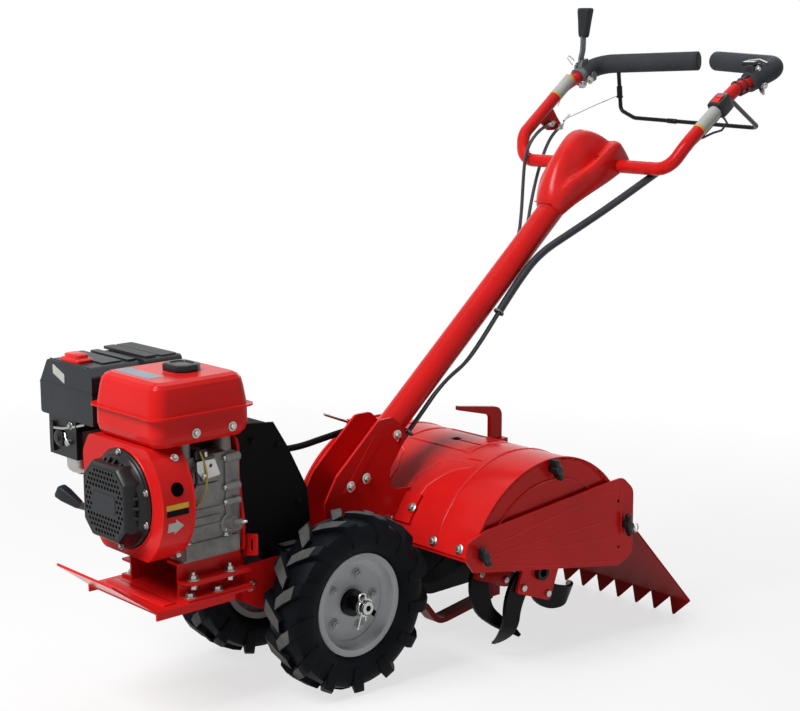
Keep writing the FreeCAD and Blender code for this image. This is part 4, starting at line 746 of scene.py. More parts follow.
# ------------------------------------------------------------------ stage
WHITE = (1.0, 1.0, 1.0, 1.0)
FLOOR_SIZE = 9.0
FADE_NEAR, FADE_FAR, FADE_LEAST = 0.9, 2.6, 0.7
LAMPS = (
    # name, place and aim in metres, size, power
    ("key_lamp", (2.9, 0.12, 3.1), (0.0, 0.0, 0.5), 1.8, 155),
    ("top_lamp", (-0.6, -0.6, 3.7), (-0.1, 0.0, 0.5), 3.0, 34),
    ("rear_lamp", (-3.4, -1.6, 2.4), (0.0, 0.0, 0.5), 1.4, 24),
)
# The camera's place and directions in the level frame, and the shift of its picture.
CAMERA_PLACE = (1747, 2162, 1094)
CAMERA_AHEAD = (-0.6667, -0.7210, -0.1888)
CAMERA_RIGHT = (-0.7342, 0.6789, 0.0)
CAMERA_SHIFT = (-0.0051, 0.00375)


def add_area(name, place, aim, size, power):
    """Soft square lamp at a place in metres, aimed at a point."""
    lamp = bpy.data.lights.new(name, "AREA")
    lamp.size = size
    lamp.energy = power
    obj = added(name, lamp)
    obj.location = place
    obj.rotation_euler = (V(*aim) - V(*place)).to_track_quat("-Z", "Y").to_euler()


def seen_directly(nodes, links):
    """1 for rays from the camera, from mirrors and through glass, 0 for the rest."""
    path = node(nodes, "LightPath")
    total = path.outputs["Is Camera Ray"]
    for name in ("Is Glossy Ray", "Is Transmission Ray"):
        either = node(nodes, "Math")
        either.operation = "MAXIMUM"
        links.new(total, either.inputs[0])
        links.new(path.outputs[name], either.inputs[1])
        total = either.outputs[0]
    return total


def blend(nodes, links, share, first, second, out):
    """Two shaders mixed by a share of the second, into an output's surface."""
    mix = node(nodes, "MixShader")
    for socket, value in zip(mix.inputs, (share, first.outputs[0], second.outputs[0])):
        links.new(value, socket)
    links.new(mix.outputs[0], out.inputs["Surface"])


class TILLER_OT_camera(bpy.types.Operator):
    """Place the camera"""

    bl_idname = "tiller.camera"
    bl_label = "Camera"

    def execute(self, context):
        data = bpy.data.cameras.new("camera")
        data.lens = context.scene.tiller_sizes.lens
        data.sensor_width = 36.0
        data.shift_x, data.shift_y = CAMERA_SHIFT
        data.clip_end = 50.0
        obj = added("camera", data)
        turn = Matrix.Rotation(PARK, 3, "Y")
        ahead = (turn @ V(*CAMERA_AHEAD)).normalized()
        right = turn @ V(*CAMERA_RIGHT)
        right = (right - ahead * right.dot(ahead)).normalized()
        obj.matrix_world = Matrix((right, right.cross(ahead), -ahead)).transposed().to_4x4()
        obj.location = LEVEL @ V(*CAMERA_PLACE)
        context.scene.camera = obj
        return {"FINISHED"}


class TILLER_OT_stage(bpy.types.Operator):
    """Lay the studio floor and hang the lamps"""

    bl_idname = "tiller.stage"
    bl_label = "Stage"

    def execute(self, context):
        scene = context.scene
        scene.view_settings.view_transform = "Standard"
        world = scene.world or bpy.data.worlds.new("studio")
        scene.world = world
        world.use_nodes = True
        nodes, links = world.node_tree.nodes, world.node_tree.links
        nodes.clear()
        soft = node(nodes, "Background", Color=WHITE, Strength=0.10)
        white = node(nodes, "Background", Color=WHITE, Strength=1.0)
        blend(nodes, links, seen_directly(nodes, links), soft, white, node(nodes, "OutputWorld"))

        bm = bmesh.new()
        bmesh.ops.create_grid(bm, x_segments=8, y_segments=8, size=FLOOR_SIZE)
        mesh = bpy.data.meshes.new("studio_floor")
        bm.to_mesh(mesh)
        bm.free()
        f = Finish("studio_floor")
        tone = tuple(scene.tiller_colours.floor)
        f.colour(f.ramp(f.noise(2.0), (0.0, lighter(tone, 0.99)), (1.0, tone)))
        fixed(f.shader, Roughness=0.9, Specular_IOR_Level=0.0)
        reach = node(f.nodes, "VectorMath")
        reach.operation = "LENGTH"
        f.links.new(f.place, reach.inputs[0])
        fade = node(f.nodes, "MapRange", From_Min=FADE_NEAR, From_Max=FADE_FAR, To_Min=FADE_LEAST)
        f.links.new(reach.outputs["Value"], fade.inputs["Value"])
        share = node(f.nodes, "Math")
        share.operation = "MULTIPLY"
        f.links.new(seen_directly(f.nodes, f.links), share.inputs[0])
        f.links.new(fade.outputs["Result"], share.inputs[1])
        glow = node(f.nodes, "Emission", Color=WHITE, Strength=1.0)
        blend(f.nodes, f.links, share.outputs[0], f.shader, glow, f.nodes["Material Output"])
        mesh.materials.append(f.material)
        added("studio_floor", mesh)

        for lamp in LAMPS:
            add_area(*lamp)
        return {"FINISHED"}


class TILLER_OT_finishes(bpy.types.Operator):
    """Mix the finishes and paint the CAD nodes that stay"""

    bl_idname = "tiller.finishes"
    bl_label = "Finishes"

    def execute(self, context):
        build_finishes(context.scene.tiller_colours)
        finish_cad_nodes()
        return {"FINISHED"}


# ------------------------------------------------------------------ machine groups
class TILLER_OT_cables(bpy.types.Operator):
    """Run the control cables down the handle"""

    bl_idname = "tiller.cables"
    bl_label = "Cables"

    def execute(self, context):
        radius = context.scene.tiller_sizes.cable_diameter / 2 / MM
        second = [(-884, 205, 954.4), (-862, 178, 910)]
        for count, (x, y, z) in enumerate(LEFT_CABLE[2:]):
            sideways = max(8, 12 - 1.5 * count)
            second.append((x, y - sideways, z - 15 + sideways))
        cable_piece("left_cable_upper", LEFT_CABLE, radius, "handle", "sheath", "left_cables")
        cable_piece("left_cable_lower", second, radius, "handle", "sheath")
        cable_piece("shift_cable", RIGHT_SHIFT_CABLE, radius, "handle", "sheath", "right_cables")
        cable_piece("clutch_cable", RIGHT_CLUTCH_CABLE, radius, "handle", "sheath")
        middle = [V(*p).lerp(V(*q), 0.5) for p, q in zip(LEFT_CABLE[2:8], second[2:8])]
        cable_piece("left_cable_sleeve", middle, 7.6, "handle", "sheath")
        m = Maker("handle")
        tie = [(0, 8.5), (0, 10.5), (3.2, 10.5), (3.2, 8.5)]
        for k in (7, 13):
            a, b = V(*LEFT_CABLE[k]), V(*second[k])
            run = (V(*LEFT_CABLE[k + 1]) - a).normalized()
            m.turned(a.lerp(b, 0.5) - run * 1.6, run, tie, 28, loop=True)
        m.piece("cable_ties", "steel_grey")
        return {"FINISHED"}


class TILLER_OT_wheels(bpy.types.Operator):
    """Build the lugged tyres and the wheel fittings"""

    bl_idname = "tiller.wheels"
    bl_label = "Wheels"

    def execute(self, context):
        lugs = context.scene.tiller_sizes.lug_count
        for side, word in ((1, "left"), (-1, "right")):
            tyre(word, side, lugs)
            wheel_fittings(word, side)
        return {"FINISHED"}


class TILLER_OT_base(bpy.types.Operator):
    """Bolt up the engine deck, rails and side plates"""

    bl_idname = "tiller.base"
    bl_label = "Base"

    def execute(self, context):
        flats = context.scene.tiller_sizes.bolt_flats / MM
        m = Maker("chassis")
        m.drawn([(318, 215.5), (322, 218.6), (342, 218.6), (346, 215.5)], "y", (-84, -78, 78, 84))
        m.tube([(352, -70, 214.6), (352, 70, 214.6)], 1.6, 8)
        m.piece("deck_rib", "red", 0.6)

        for side in SIDES:
            for x in (285, 212):
                m.bolt((x, side * 82, FEET_Z), Z, flats, shank=5)
                m.turned((x, side * 82, 240), -Z, [(0, 9), (1.6, 9), (1.6, 7.4), (7.4, 7.4), (8.4, 6)], 6)
            for x in (292, 238):
                m.bolt((x, side * 82, DECK_Z), Z, flats)
            m.bolt((160, side * 70.4, 205), (0, side, 0), flats * 0.85)
            m.bolt((4, side * 68, 224), (0, side, 0), flats)
            m.bolt((60, side * 70, 230), (0, side, 0), flats)
        m.piece("frame_bolts", "zinc", 0.3)

        tab = rounded([(74, 262, 3), (106, 270, 3), (106, 306, 3), (74, 300, 3)])
        m.plate(tab, [slot_hole(91, 284, 22, 4, 90)], "x", 171, 174)
        m.box(171, 174, 68, 76, 262, 300)
        m.piece("stop_tab", "red", 0.4)
        return {"FINISHED"}


class TILLER_OT_engine(bpy.types.Operator):
    """Dress the crankcase, cylinder and engine feet"""

    bl_idname = "tiller.engine"
    bl_label = "Engine block"

    def execute(self, context):
        m = Maker("chassis")
        m.drawn([(72, 279), (82, 279), (82, 298), (78, 305), (72, 307)], "x", (190, 193, 293, 296))
        side_wall = [
            (70, 300), (77.5, 304), (78.5, 330), (78.5, 400), (77.5, 430), (73, 447), (66, 451), (40, 451),
            (40, 300),
        ]
        m.drawn(side_wall, "x", (203, 206, 211, 214))
        for z, r in ((436, 7.5), (387, 7.0), (362, 6.5), (318, 7.0)):
            m.turned((186, 78, z), X, [(0, r - 1), (1, r), (26, r), (28, r - 1.5)], 20)
        for z in (328, 342, 356):
            m.box(222, 292, 74, 77.2, z, z + 3.2)
        m.prism([(226, 366, 4), (286, 366, 8), (286, 400, 6), (226, 400, 4)], "y", 74, 78.5)
        m.prism(oblong(232, 404, 262, 444, 5), "y", 74, 82)
        m.turned((208, 74, 325), Y, [(0, 17), (4, 17), (6, 15), (6, 11), (9, 10.5)], 28)
        for x in (284, 204):
            m.turned((x, 62, 444), Z, [(0, 12), (16, 11), (24, 10), (29, 10)], 24)
        m.piece("crankcase_ribs", "alloy", 0.8)

        fins, first, pitch, half = 12, -74, 8.6, 1.2
        for k in range(fins):
            y = first - k * pitch
            m.prism(oblong(184.6, 318, 296, 452, 10), "y", y - half, y + half)
        m.prism(oblong(190, 330, 290, 440, 6), "y", -186, -180)
        m.prism(oblong(196, 350, 284, 424, 10), "y", PLUG_Y, -186)
        m.piece("cylinder_fins", "alloy", 0.4)

        plug = [(0, 9), (3, 9), (3, 6.5), (14, 6.5), (14, 5), (26, 4.6), (28, 3)]
        m.turned((240, PLUG_Y, 386), -Y, plug, 6)
        m.tube([(240, -216, 386), (262, -226, 394), (290, -216, 404), (300, -190, 410)], 3.4, 8)
        m.piece("spark_plug_lead", "black_plastic")

        tab = rounded([(275, 441, 2), (240, 441, 2), (229, 413, 2), (262, 410, 2), (274, 424, 2)])
        m.plate(tab, [round_hole(248, 431, 3.2)], "y", 84, 85.6)
        m.turned((258, 76, 420), Y, [(0, 4), (8.2, 4)], 14)
        m.bolt((262, 85.6, 417), Y, 7, washer=False)
        m.turned((254, 80, 446), Z, [(0, 3.6), (8, 3.6), (9, 2)], 12)
        for x in (213, 290):
            m.bolt((x, 75, 307), Z, 9)
        for z in (436, 387, 362, 318):
            m.bolt((214, 78, z), X, 8, washer=False)
        m.bolt((316, 83.5, 455), (0, 0.73, 0.68), 8)
        m.bolt((303, 68.5, 291), (0, 0.6, -0.8), 8)
        m.turned((203.5, 90, 329), (-0.3, 0.9, 0.2), [(6, 3.4), (20, 3.0), (22, 2.0)], 12)
        m.piece("engine_hardware", "zinc", 0.2)

        loop = [
            (284, 84, 430), (288, 88, 424), (288, 88, 406), (281, 86, 400), (275, 84, 408), (276, 84, 426),
        ]
        m.tube(loop + loop[:1], 2.6, 8)
        m.prism(oblong(250, 438, 274, 458, 4), "y", 60, 80)
        m.turned((296, 66, 432), Z, [(0, 8), (20, 8), (22, 6)], 18)
        m.piece("coil_lead", "black_plastic", 0.8)

        lead = [
            (266, 82, 456), (261, 86, 440), (257, 88, 418), (258, 87, 396), (266, 84, 376), (274, 79, 364),
        ]
        m.tube(lead, 1.5, 8)
        m.piece("stop_switch_lead", "wire_yellow")
        return {"FINISHED"}


class TILLER_OT_blower(bpy.types.Operator):
    """Press the blower housing and add its plug, labels and beads"""

    bl_idname = "tiller.blower"
    bl_label = "Blower housing"

    def execute(self, context):
        axis = (0.0, CRANK_Z)
        skin, lifted = BLOWER_R - 0.1, BLOWER_R + 0.45
        m = Maker("chassis")
        outline = [(y, z, 0) for y, z in arc(*axis, BLOWER_R, -56, 54, 28)]
        outline += [(-98, 470.6, 18), (-118, 438, 26), (-113, 338, 26), (-64, 287.2, 24)]
        m.plate(rounded(outline, 6), [round_hole(*axis, 73, 64)], "x", BLOWER_BACK_X, BLOWER_FACE_X)
        m.piece("blower_shell", "red", 3.5, "blower_housing")

        a = math.radians(16)
        out = V(0, math.cos(a), math.sin(a))
        cup = [(0, 11.4), (2.6, 11.4), (3.2, 10.6), (2.4, 8.4)]
        m.turned(V(329, 0, CRANK_Z) + out * (BLOWER_R - 2), out, cup, 32)
        # The plug is drawn in the near-black deep-shadow finish, as painted shade.
        m.piece("blower_plug", "hole")
        m.wrap("x", axis, skin, lifted, (0.2, 4.4), (311, 352))
        m.piece("blower_label_band", "label_yellow")
        m.wrap("x", axis, skin, lifted, (-5.2, -0.4), (311, 352))
        m.piece("blower_label_base", "matt_black")
        m.wrap("x", axis, skin, BLOWER_R + 0.4, (-18.8, -10.8), (334, 348), 6)
        m.wrap("x", axis, skin, BLOWER_R + 0.4, (-21.4, -8.2), (334.2, 318.5), 12, pointed=True)
        m.piece("blower_arrow", "label")

        m.tube([(299.4, y, z) for y, z in arc(*axis, BLOWER_R + 0.2, -62, 62, 40)], 1.7, 8)
        m.piece("blower_rear_bead", "red")
        lip = [(0, 82.5), (0, 84.5), (-2.0, 86.2), (-4.5, 86.6), (-4.5, 82.5)]
        m.turned((359.6, 0, CRANK_Z), X, lip, 72, loop=True)
        m.piece("blower_front_bead", "red")
        return {"FINISHED"}


def octagon(grow, x):
    """Ring of points round the octagonal face of the recoil starter."""
    side = 61.0 + grow
    cut = side - 23.0 - grow * 0.4
    corners = [
        (-side, -cut, 6), (-cut, -side, 6), (cut, -side, 6), (side, -cut, 6),
        (side, cut, 6), (cut, side, 6), (-cut, side, 6), (-side, cut, 6),
    ]
    return [V(x, p.x, p.y + CRANK_Z) for p in rounded(corners, 3)]


class TILLER_OT_recoil(bpy.types.Operator):
    """Build the recoil starter cover, its grille and the pull handle"""

    bl_idname = "tiller.recoil"
    bl_label = "Recoil starter"

    def execute(self, context):
        centre = V(0, 0, CRANK_Z)
        m = Maker("chassis")
        rim = [
            (358.2, 60.0), (358.2, 81.0), (361.5, 81.4), (363.8, 80.0), (364.2, 76.5), (367.0, 74.0),
            (372.0, 72.6), (375.0, 70.6), (375.6, 66.0), (371.0, 60.0),
        ]
        m.turned(centre, X, rim, 96, loop=True)
        ribs = 26
        for c, s in spokes(ribs):
            spoke, cross = V(0, c, s), V(0, -s, c)
            m.loft([
                [centre + V(x, 0, 0) + spoke * r + cross * w for x, w, _ in oblong(x0, -w, x1, w)]
                for r, x0, x1, w in ((56.0, 377.0, 389.0, 2.0), (70.5, 370.5, 376.6, 2.6))
            ])
        face = (
            (2, 366), (1.5, 386), (0.0, 391.5), (-2.2, 394.6), (-5.0, 395.4), (-6.2, 394.4), (-6.8, 392.6),
        )
        m.loft([octagon(grow, x) for grow, x in face])
        m.piece("recoil_cover", "black_plastic", 0.5, "recoil_starter", 32)

        pitch_y, pitch_z, rows = 8.4, 8.2, range(-6, 7)
        edge, corner = 51, 80
        plate_y, plate_z = 34, 17
        holes = []
        for row in rows:
            for column in rows:
                y = column * pitch_y + (pitch_y / 2 if row % 2 else 0.0)
                z = row * pitch_z
                inside = abs(y) <= edge and abs(z) <= edge and abs(y) + abs(z) <= corner
                if inside and not (abs(z) < plate_z and abs(y) < plate_y):
                    holes.append(round_hole(y, z + CRANK_Z, 3.0, 10))
        outline = [(p.y, p.z) for p in octagon(-6.4, 0)]
        m.plate(outline, holes, "x", 392.9, RECOIL_FACE_X)
        m.piece("recoil_grille", "black_plastic", smooth=25)
        m.prism(oblong(-32, CRANK_Z - 15, 32, CRANK_Z + 15, 3), "x", RECOIL_FACE_X - 0.1, RECOIL_FACE_X + 0.6)
        m.piece("recoil_plain_plate", "charcoal")
        for y, z in ((1, 79), (73, 24), (72, -28), (-73, 24), (0, -78), (-72, -24)):
            m.bolt(centre + X * 364.2 + V(0, y, z).normalized() * 77.5, X, 7.5)
        m.piece("recoil_bolts", "zinc", 0.2)

        start, end = V(390, -144, 371), V(374, -103, 349)
        run = (end - start).normalized()
        side = run.cross(Z).normalized()
        lift = side.cross(run)
        grip = (
            (0, 7.6, 8.8), (3, 9.6, 10.6), (16, 9.6, 10.4), (30, 8.2, 8.6), (44, 7.0, 6.6), (50, 5.4, 4.8),
        )
        m.loft([
            [start + run * t + side * p.x + lift * p.y for p in rounded(oblong(-w, -h, w, h, 3), 3)]
            for t, w, h in grip
        ])
        m.turned(end, V(370, -66, 352) - end, [(-4, 5.5), (10, 6.5), (24, 8.0), (38, 10.0)], 20)
        m.piece("starter_pull", "charcoal", 0, "starter_handle", 40)
        return {"FINISHED"}


class TILLER_OT_tank(bpy.types.Operator):
    """Fit the tank's cap, neck, label and bolts"""

    bl_idname = "tiller.tank"
    bl_label = "Fuel tank"

    def execute(self, context):
        m = Maker("chassis")
        for x in (279, 208):
            m.bolt((x, TANK_FRONT_Y, 490), Y, 9.5)
        m.piece("tank_bolts", "zinc", 0.2)
        cap = [
            (221, -12, 8), (235, -22, 6), (257, -22, 6), (270, -12, 8),
            (270, 28, 8), (257, 38, 6), (235, 38, 6), (221, 28, 8),
        ]
        levels = (
            (574.4, 0.99), (577, 1.0), (584, 1.0), (586.6, 0.96), (587.6, 0.88), (587.6, 0.70), (585.8, 0.66),
        )
        m.domed(cap, (245.5, 8), levels)
        m.piece("tank_cap", "black_plastic", 0, "fuel_cap", 35)
        m.turned((245, 8, 572), Z, [(0, 34), (2.6, 33.5), (3.4, 32), (3.4, 26), (0, 26)], 48, loop=True)
        m.piece("tank_neck", "red")
        m.prism(oblong(296, -68, 326, 34, 3), "z", TANK_TOP_Z, TANK_TOP_Z + 0.7)
        m.piece("tank_plain_label", "label_blue")
        return {"FINISHED"}


class TILLER_OT_intake(bpy.types.Operator):
    """Detail the air cleaner, carburettor and muffler"""

    bl_idname = "tiller.intake"
    bl_label = "Intake and exhaust"

    def execute(self, context):
        m = Maker("chassis")
        m.drawn([(340.8, -112), (340.8, -276), (235.2, -276), (235.2, -112)], "z", (526.5, 529.5))
        m.prism([(300, -262, 3), (262, -262, 3), (262, -140, 3), (300, -140, 3)], "z", AIR_BOX_TOP_Z, 572.6)
        m.prism([(256, -250, 3), (240, -250, 3), (240, -132, 3), (256, -132, 3)], "z", AIR_BOX_TOP_Z, 574.0)
        m.tube([(335, -128, 570.2), (335, -248, 570.2)], 1.4, 8)
        m.piece("air_box_seam", "charcoal", 0.6)
        levels = (
            (AIR_BOX_TOP_Z, 1.0), (574, 1.0), (576, 0.94), (577, 0.8), (577.4, 0.74), (582, 0.70),
            (583.4, 0.62),
        )
        m.domed(oblong(298, -226, 332, -168, 8), (315, -197), levels)
        m.piece("air_box_knob", "red_shell", 0, "air_cleaner_knob", 40)
        label = [(-232, 548, 2), (-196, 534, 2), (-196, 550, 2), (-232, 564, 2)]
        m.prism(label, "x", AIR_BOX_X, AIR_BOX_X + 0.5)
        m.piece("air_box_plain_label", "label")

        m.box(322, CARB_X, -262, -176, 404, 473)
        m.prism(oblong(254, -262, 330, -176, 4), "z", 452, 473.5)
        m.turned((CARB_X, -226, 436), X, [(0, 15), (4, 15), (6, 12), (6, 6), (9, 6)], 24)
        m.prism(oblong(-252, 410, -240, 462, 4), "x", CARB_X - 1, CARB_X + 6)
        m.piece("carburettor_cover", "black_plastic", 0.8)
        m.tube([(338, -238, 452), (338, -210, 455), (332, -180, 462), (326, -160, 468)], 2.6, 8)
        m.tube([(339, -204, 448), (342, -196, 440), (339, -190, 430)], 1.6, 8)
        m.bolt((CARB_X, -248, 420), X, 8)
        m.bolt((CARB_X, -192, 462), X, 8)
        m.turned((CARB_X, -200, 432), X, [(0, 6), (5, 6), (6, 4)], 16)
        m.turned((306, -212, 400), -Z, [(-4, 22.6), (14, 22.4), (20, 20), (25, 14), (25, 5), (30, 5)], 28)
        m.piece("carburettor_metal", "zinc")

        m.prism(oblong(166, -256, 200, -118, 5), "z", MUFFLER_TOP_Z, MUFFLER_TOP_Z + 2.8)
        m.prism(oblong(206, -250, 230, -118, 5), "z", MUFFLER_TOP_Z, MUFFLER_TOP_Z + 4.4)
        louvres, lowest, pitch, half = 7, 476, 13, 2.5
        for k in range(louvres):
            z = lowest + k * pitch
            m.prism(oblong(170, z - half, 226, z + half, 2.4), "y", -264.4, -261.6)
        m.turned((158, -190, 500), -X, [(-4, 16), (0, 16), (4, 13), (22, 13), (22, 10.5), (2, 10.5)], 28)
        m.piece("muffler_louvres", "muffler", 0.5)
        return {"FINISHED"}


class TILLER_OT_belt_drive(bpy.types.Operator):
    """Trim the belt cover and run the control rods"""

    bl_idname = "tiller.belt_drive"
    bl_label = "Belt drive"

    def execute(self, context):
        m = Maker("chassis")
        line = [(162, 480), (104, 474), (76, 430), (34, 350), (28, 290)]
        for side in SIDES:
            m.tube([(x, side * (BELT_COVER_Y - 1.5), z) for x, z in line], 2.6, 8)
        m.tube([(76.5, -62, 430.5), (76.5, 62, 430.5)], 2.2, 8)
        m.piece("belt_cover_bead", "matt_black")
        for x, z in ((150, 452), (96, 436), (52, 330), (150, 290)):
            for side in SIDES:
                m.bolt((x, side * BELT_COVER_Y, z), (0, side, 0), 8)
        m.piece("belt_cover_screws", "matt_black")
        sleeve = [(50, -46, 398), (8, -46, 391), (-44, -46, 389), (-100, -46, 396), (-164, -46, 402)]
        cable_piece("rod_sleeve", sleeve, 6.0, "chassis", "matt_black", "control_rods")
        m.tube([(-108, -56, 436), (-170, -56, 411)], 2.8, 10)
        m.prism(oblong(-178, 392, -164, 418, 2), "y", -60, -34.6)
        m.piece("control_rod", "zinc")
        return {"FINISHED"}


class TILLER_OT_bracket(bpy.types.Operator):
    """Press the handle bracket's ribs and fit its bolts"""

    bl_idname = "tiller.bracket"
    bl_label = "Handle bracket"

    def execute(self, context):
        m = Maker("chassis")
        for side in SIDES:
            rib = [(-88, 300), (-74, 312), (-150, 408), (-166, 398)]
            m.drawn(rib, "y", (side * (BRACKET_Y - 0.4), side * (BRACKET_Y + 1)))
        m.piece("bracket_ribs", "red", 0.9)
        for side in SIDES:
            m.bolt((-128, side * (BRACKET_Y + 1), 331), (0, side, 0), 12)
            for x, z, flats in ((-92, 322, 12), (-244, 262, 11), (-60, 262, 11)):
                m.bolt((x, side * BRACKET_Y, z), (0, side, 0), flats)
        m.bolt((-215, 64, 266.5), (0.82, 0, 0.57), 11)
        m.turned((-176, BRACKET_Y, 252), Y, [(0, 3), (16, 3), (17, 2)], 12)
        m.piece("bracket_bolts", "zinc", 0.2)
        m = Maker("handle")
        for side in SIDES:
            m.bolt((-198.9, side * 39.4, 400), (0, side, 0), 11)
        m.piece("height_bolt_heads", "zinc", 0.2)
        return {"FINISHED"}


CONSOLE = [
    # along the column, lower edge, shoulder, dome top, half width, wing share
    (668, -9, 4, 25, 27, 0.0), (682, -9, 12, 38, 33, 0.0), (704, -10, 20, 52, 40, 0.1),
    (730, -13, 23, 63, 50, 0.4), (756, -18, 18, 71, 58, 0.8), (784, -24, 14, 76, 66, 1.0),
    (816, -31, 12, 77, 71, 1.0), (836, -36, 12, 70, 72, 1.0), (850, -37, 12, 58, 71, 1.0),
    (861, -36, 10, 42, 68, 0.9), (869, -28, 6, 20, 52, 0.4),
]
# Right half of the hood's section above its shoulder, as shares of half width and rise.
HOOD_PLAIN = [
    (0.97, 0.10), (0.92, 0.26), (0.84, 0.44), (0.74, 0.60), (0.60, 0.77), (0.44, 0.89), (0.24, 0.97),
]
HOOD_WINGED = [
    (0.985, 0.10), (0.92, 0.26), (0.80, 0.30), (0.62, 0.06), (0.52, 0.04), (0.44, 0.50), (0.27, 0.92),
]


def console_ring(along, low, shoulder, top, half, wing):
    """Ring of the console across the column at one station."""
    rise = top - shoulder
    right = [
        (half * 0.9, low - 1), (half, low + 2), (half, low * 0.4 + shoulder * 0.6),
        (half * 0.995, shoulder - 3),
    ]
    for (pu, pv), (wu, wv) in zip(HOOD_PLAIN, HOOD_WINGED):
        right.append((half * (pu + (wu - pu) * wing), shoulder + rise * (pv + (wv - pv) * wing)))
    points = right + [(0.0, top)] + [(-u, v) for u, v in reversed(right)]
    return [column_point(along, v, u) for u, v in points]


class TILLER_OT_console(bpy.types.Operator):
    """Mould the console hood on the handle column"""

    bl_idname = "tiller.console"
    bl_label = "Console"

    def execute(self, context):
        m = Maker("handle")
        m.loft([console_ring(*row) for row in CONSOLE])
        m.piece("console_hood", "red_shell", 0, "handle_console", 60, subdivide=2)
        for side in SIDES:
            at = column_point(812, 17.5, side * 41)
            out = column_point(0, 1, side * 0.55) - COLUMN_PIVOT
            m.turned(at, out, [(-4, 6.0), (0.6, 6.0), (1.2, 5.2), (0.8, 4.0), (-3, 3.6)], 20)
        # The screw cups' red is darkened as painted shade in their recesses.
        m.piece("console_screw_cups", "red_painted_shade")
        m.tube([column_point(672, 29, -20), column_point(670, 32, 0), column_point(672, 29, 20)], 1.4, 8)
        m.piece("console_front_bead", "red_shell")
        return {"FINISHED"}


class TILLER_OT_grips(bpy.types.Operator):
    """Pull the foam grips over the bar's ends"""

    bl_idname = "tiller.grips"
    bl_label = "Grips"

    def execute(self, context):
        radius = context.scene.tiller_sizes.grip_radius / MM
        bend, overhang, step, edge = 45, 1.7, 12, 1.6
        m = Maker("handle")
        for side, lead, word, replaced in ((1, 60, "left", "handlebar_grips"), (-1, 38, "right", None)):
            a, b, c = [V(p.x, p.y * side, p.z) for p in BAR_ROUTE[3:6]]
            start = b + (a - b).normalized() * (lead + bend * math.tan((b - a).angle(c - b) / 2))
            c = c + (c - b).normalized() * overhang
            path = bent([start, b, c], [bend], 16)
            dense = []
            for p, q in zip(path[:-1], path[1:]):
                count = max(1, int((q - p).length / step))
                dense += [p.lerp(q, k / count) for k in range(count)]
            dense.append(path[-1])
            first = (dense[0] - dense[1]).normalized()
            last = (dense[-1] - dense[-2]).normalized()
            front, back = dense[0] - first * edge, dense[-1] - last * edge
            line = [front + first * edge, front] + dense[1:-1] + [back, back + last * edge, back + last * 1.5]
            radii = [radius - 1.8] + [radius] * len(dense) + [radius - edge, radius - 4.2]
            m.tube(line, radii, 36)
            m.piece(word + "_foam_grip", "foam", 0, replaced, 50)
            m.turned(back + last * 1.4, last, [(-1, radius - 5), (0.25, radius - 5.2), (0.1, radius - 8)], 32)
            # A near-black disc in the grip's end: painted shade of its bore.
            m.piece(word + "_grip_bore_shade", "hole")
        return {"FINISHED"}


class TILLER_OT_shift_lever(bpy.types.Operator):
    """Clamp the shift lever to the right arm"""

    bl_idname = "tiller.shift_lever"
    bl_label = "Shift lever"

    def execute(self, context):
        m = Maker("handle")
        grip = (
            (1106, 8, 6, 0), (1109, 10, 7.4, 0), (1114, 11, 8, 0), (1140, 13, 9.4, -2),
            (1162, 15.4, 10.8, -3.6), (1166.5, 15.2, 10.6, -4), (1168.6, 13.6, 9.2, -4),
        )
        m.loft([
            [V(-992 + lean + p.y, -227.5 + p.x, z) for p in rounded(oblong(-w, -d, w, d, 3.4))]
            for z, w, d, lean in grip
        ])
        m.piece("lever_grip", "charcoal", 0, "lever_knob", 50)

        point, run = arm_point(-990, -1, 3)
        clamp = [(0, 13.3), (0, 18), (1, 19), (39, 19), (40, 18), (40, 13.3)]
        m.turned(point - run * 20, run, clamp, 32, loop=True)
        ear = ((-16, 14), (16, 14), (14, 30), (-8, 34))
        m.loft([[point + run * t + V(0, y, z) for t, z in ear] for y in (-6, 6)])
        blade = ((-986, 1044), (-986, 1062), (-991, 1078), (-992, 1092), (-992, 1112))
        section = ((-7, -231.5), (7, -231.5), (7, -226.5), (-7, -226.5))
        m.loft([[V(x + dx, y, z) for dx, y in section] for x, z in blade])
        m.prism([(-1004, 1008, 6), (-972, 1012, 6), (-972, 1050, 10), (-1000, 1052, 10)], "y", -236, -231.4)
        m.prism([(-1012, 1016, 8), (-996, 1010, 6), (-996, 1034, 8), (-1012, 1034, 8)], "y", -231, -205)
        m.piece("lever_clamp", "steel_grey", 0.8, "shift_lever")
        m.bolt((-986, -236, 1044), -Y, 12)
        m.bolt((-990, -206, 1016), Y, 11)
        m.bolt((-978, -215, 1008), (0.6, 0.2, -0.7), 11)
        m.turned((-990, -228, 1008), -Z, [(0, 9), (4, 9), (5, 7), (9, 7), (10, 5)], 16)
        m.piece("lever_bolts", "zinc", 0.2)
        m.tube([
            (-984, -238, 1042), (-975, -246, 1050), (-968, -252, 1062), (-974, -254, 1068),
            (-984, -250, 1060), (-990, -242, 1046),
        ], 1.2, 8)
        m.tube([(-986, -233, 1090), (-978, -236, 1060), (-946, -231, 1012), (-906, -222, 962)], 1.0, 8)
        m.piece("lever_hairpin", "steel")
        return {"FINISHED"}


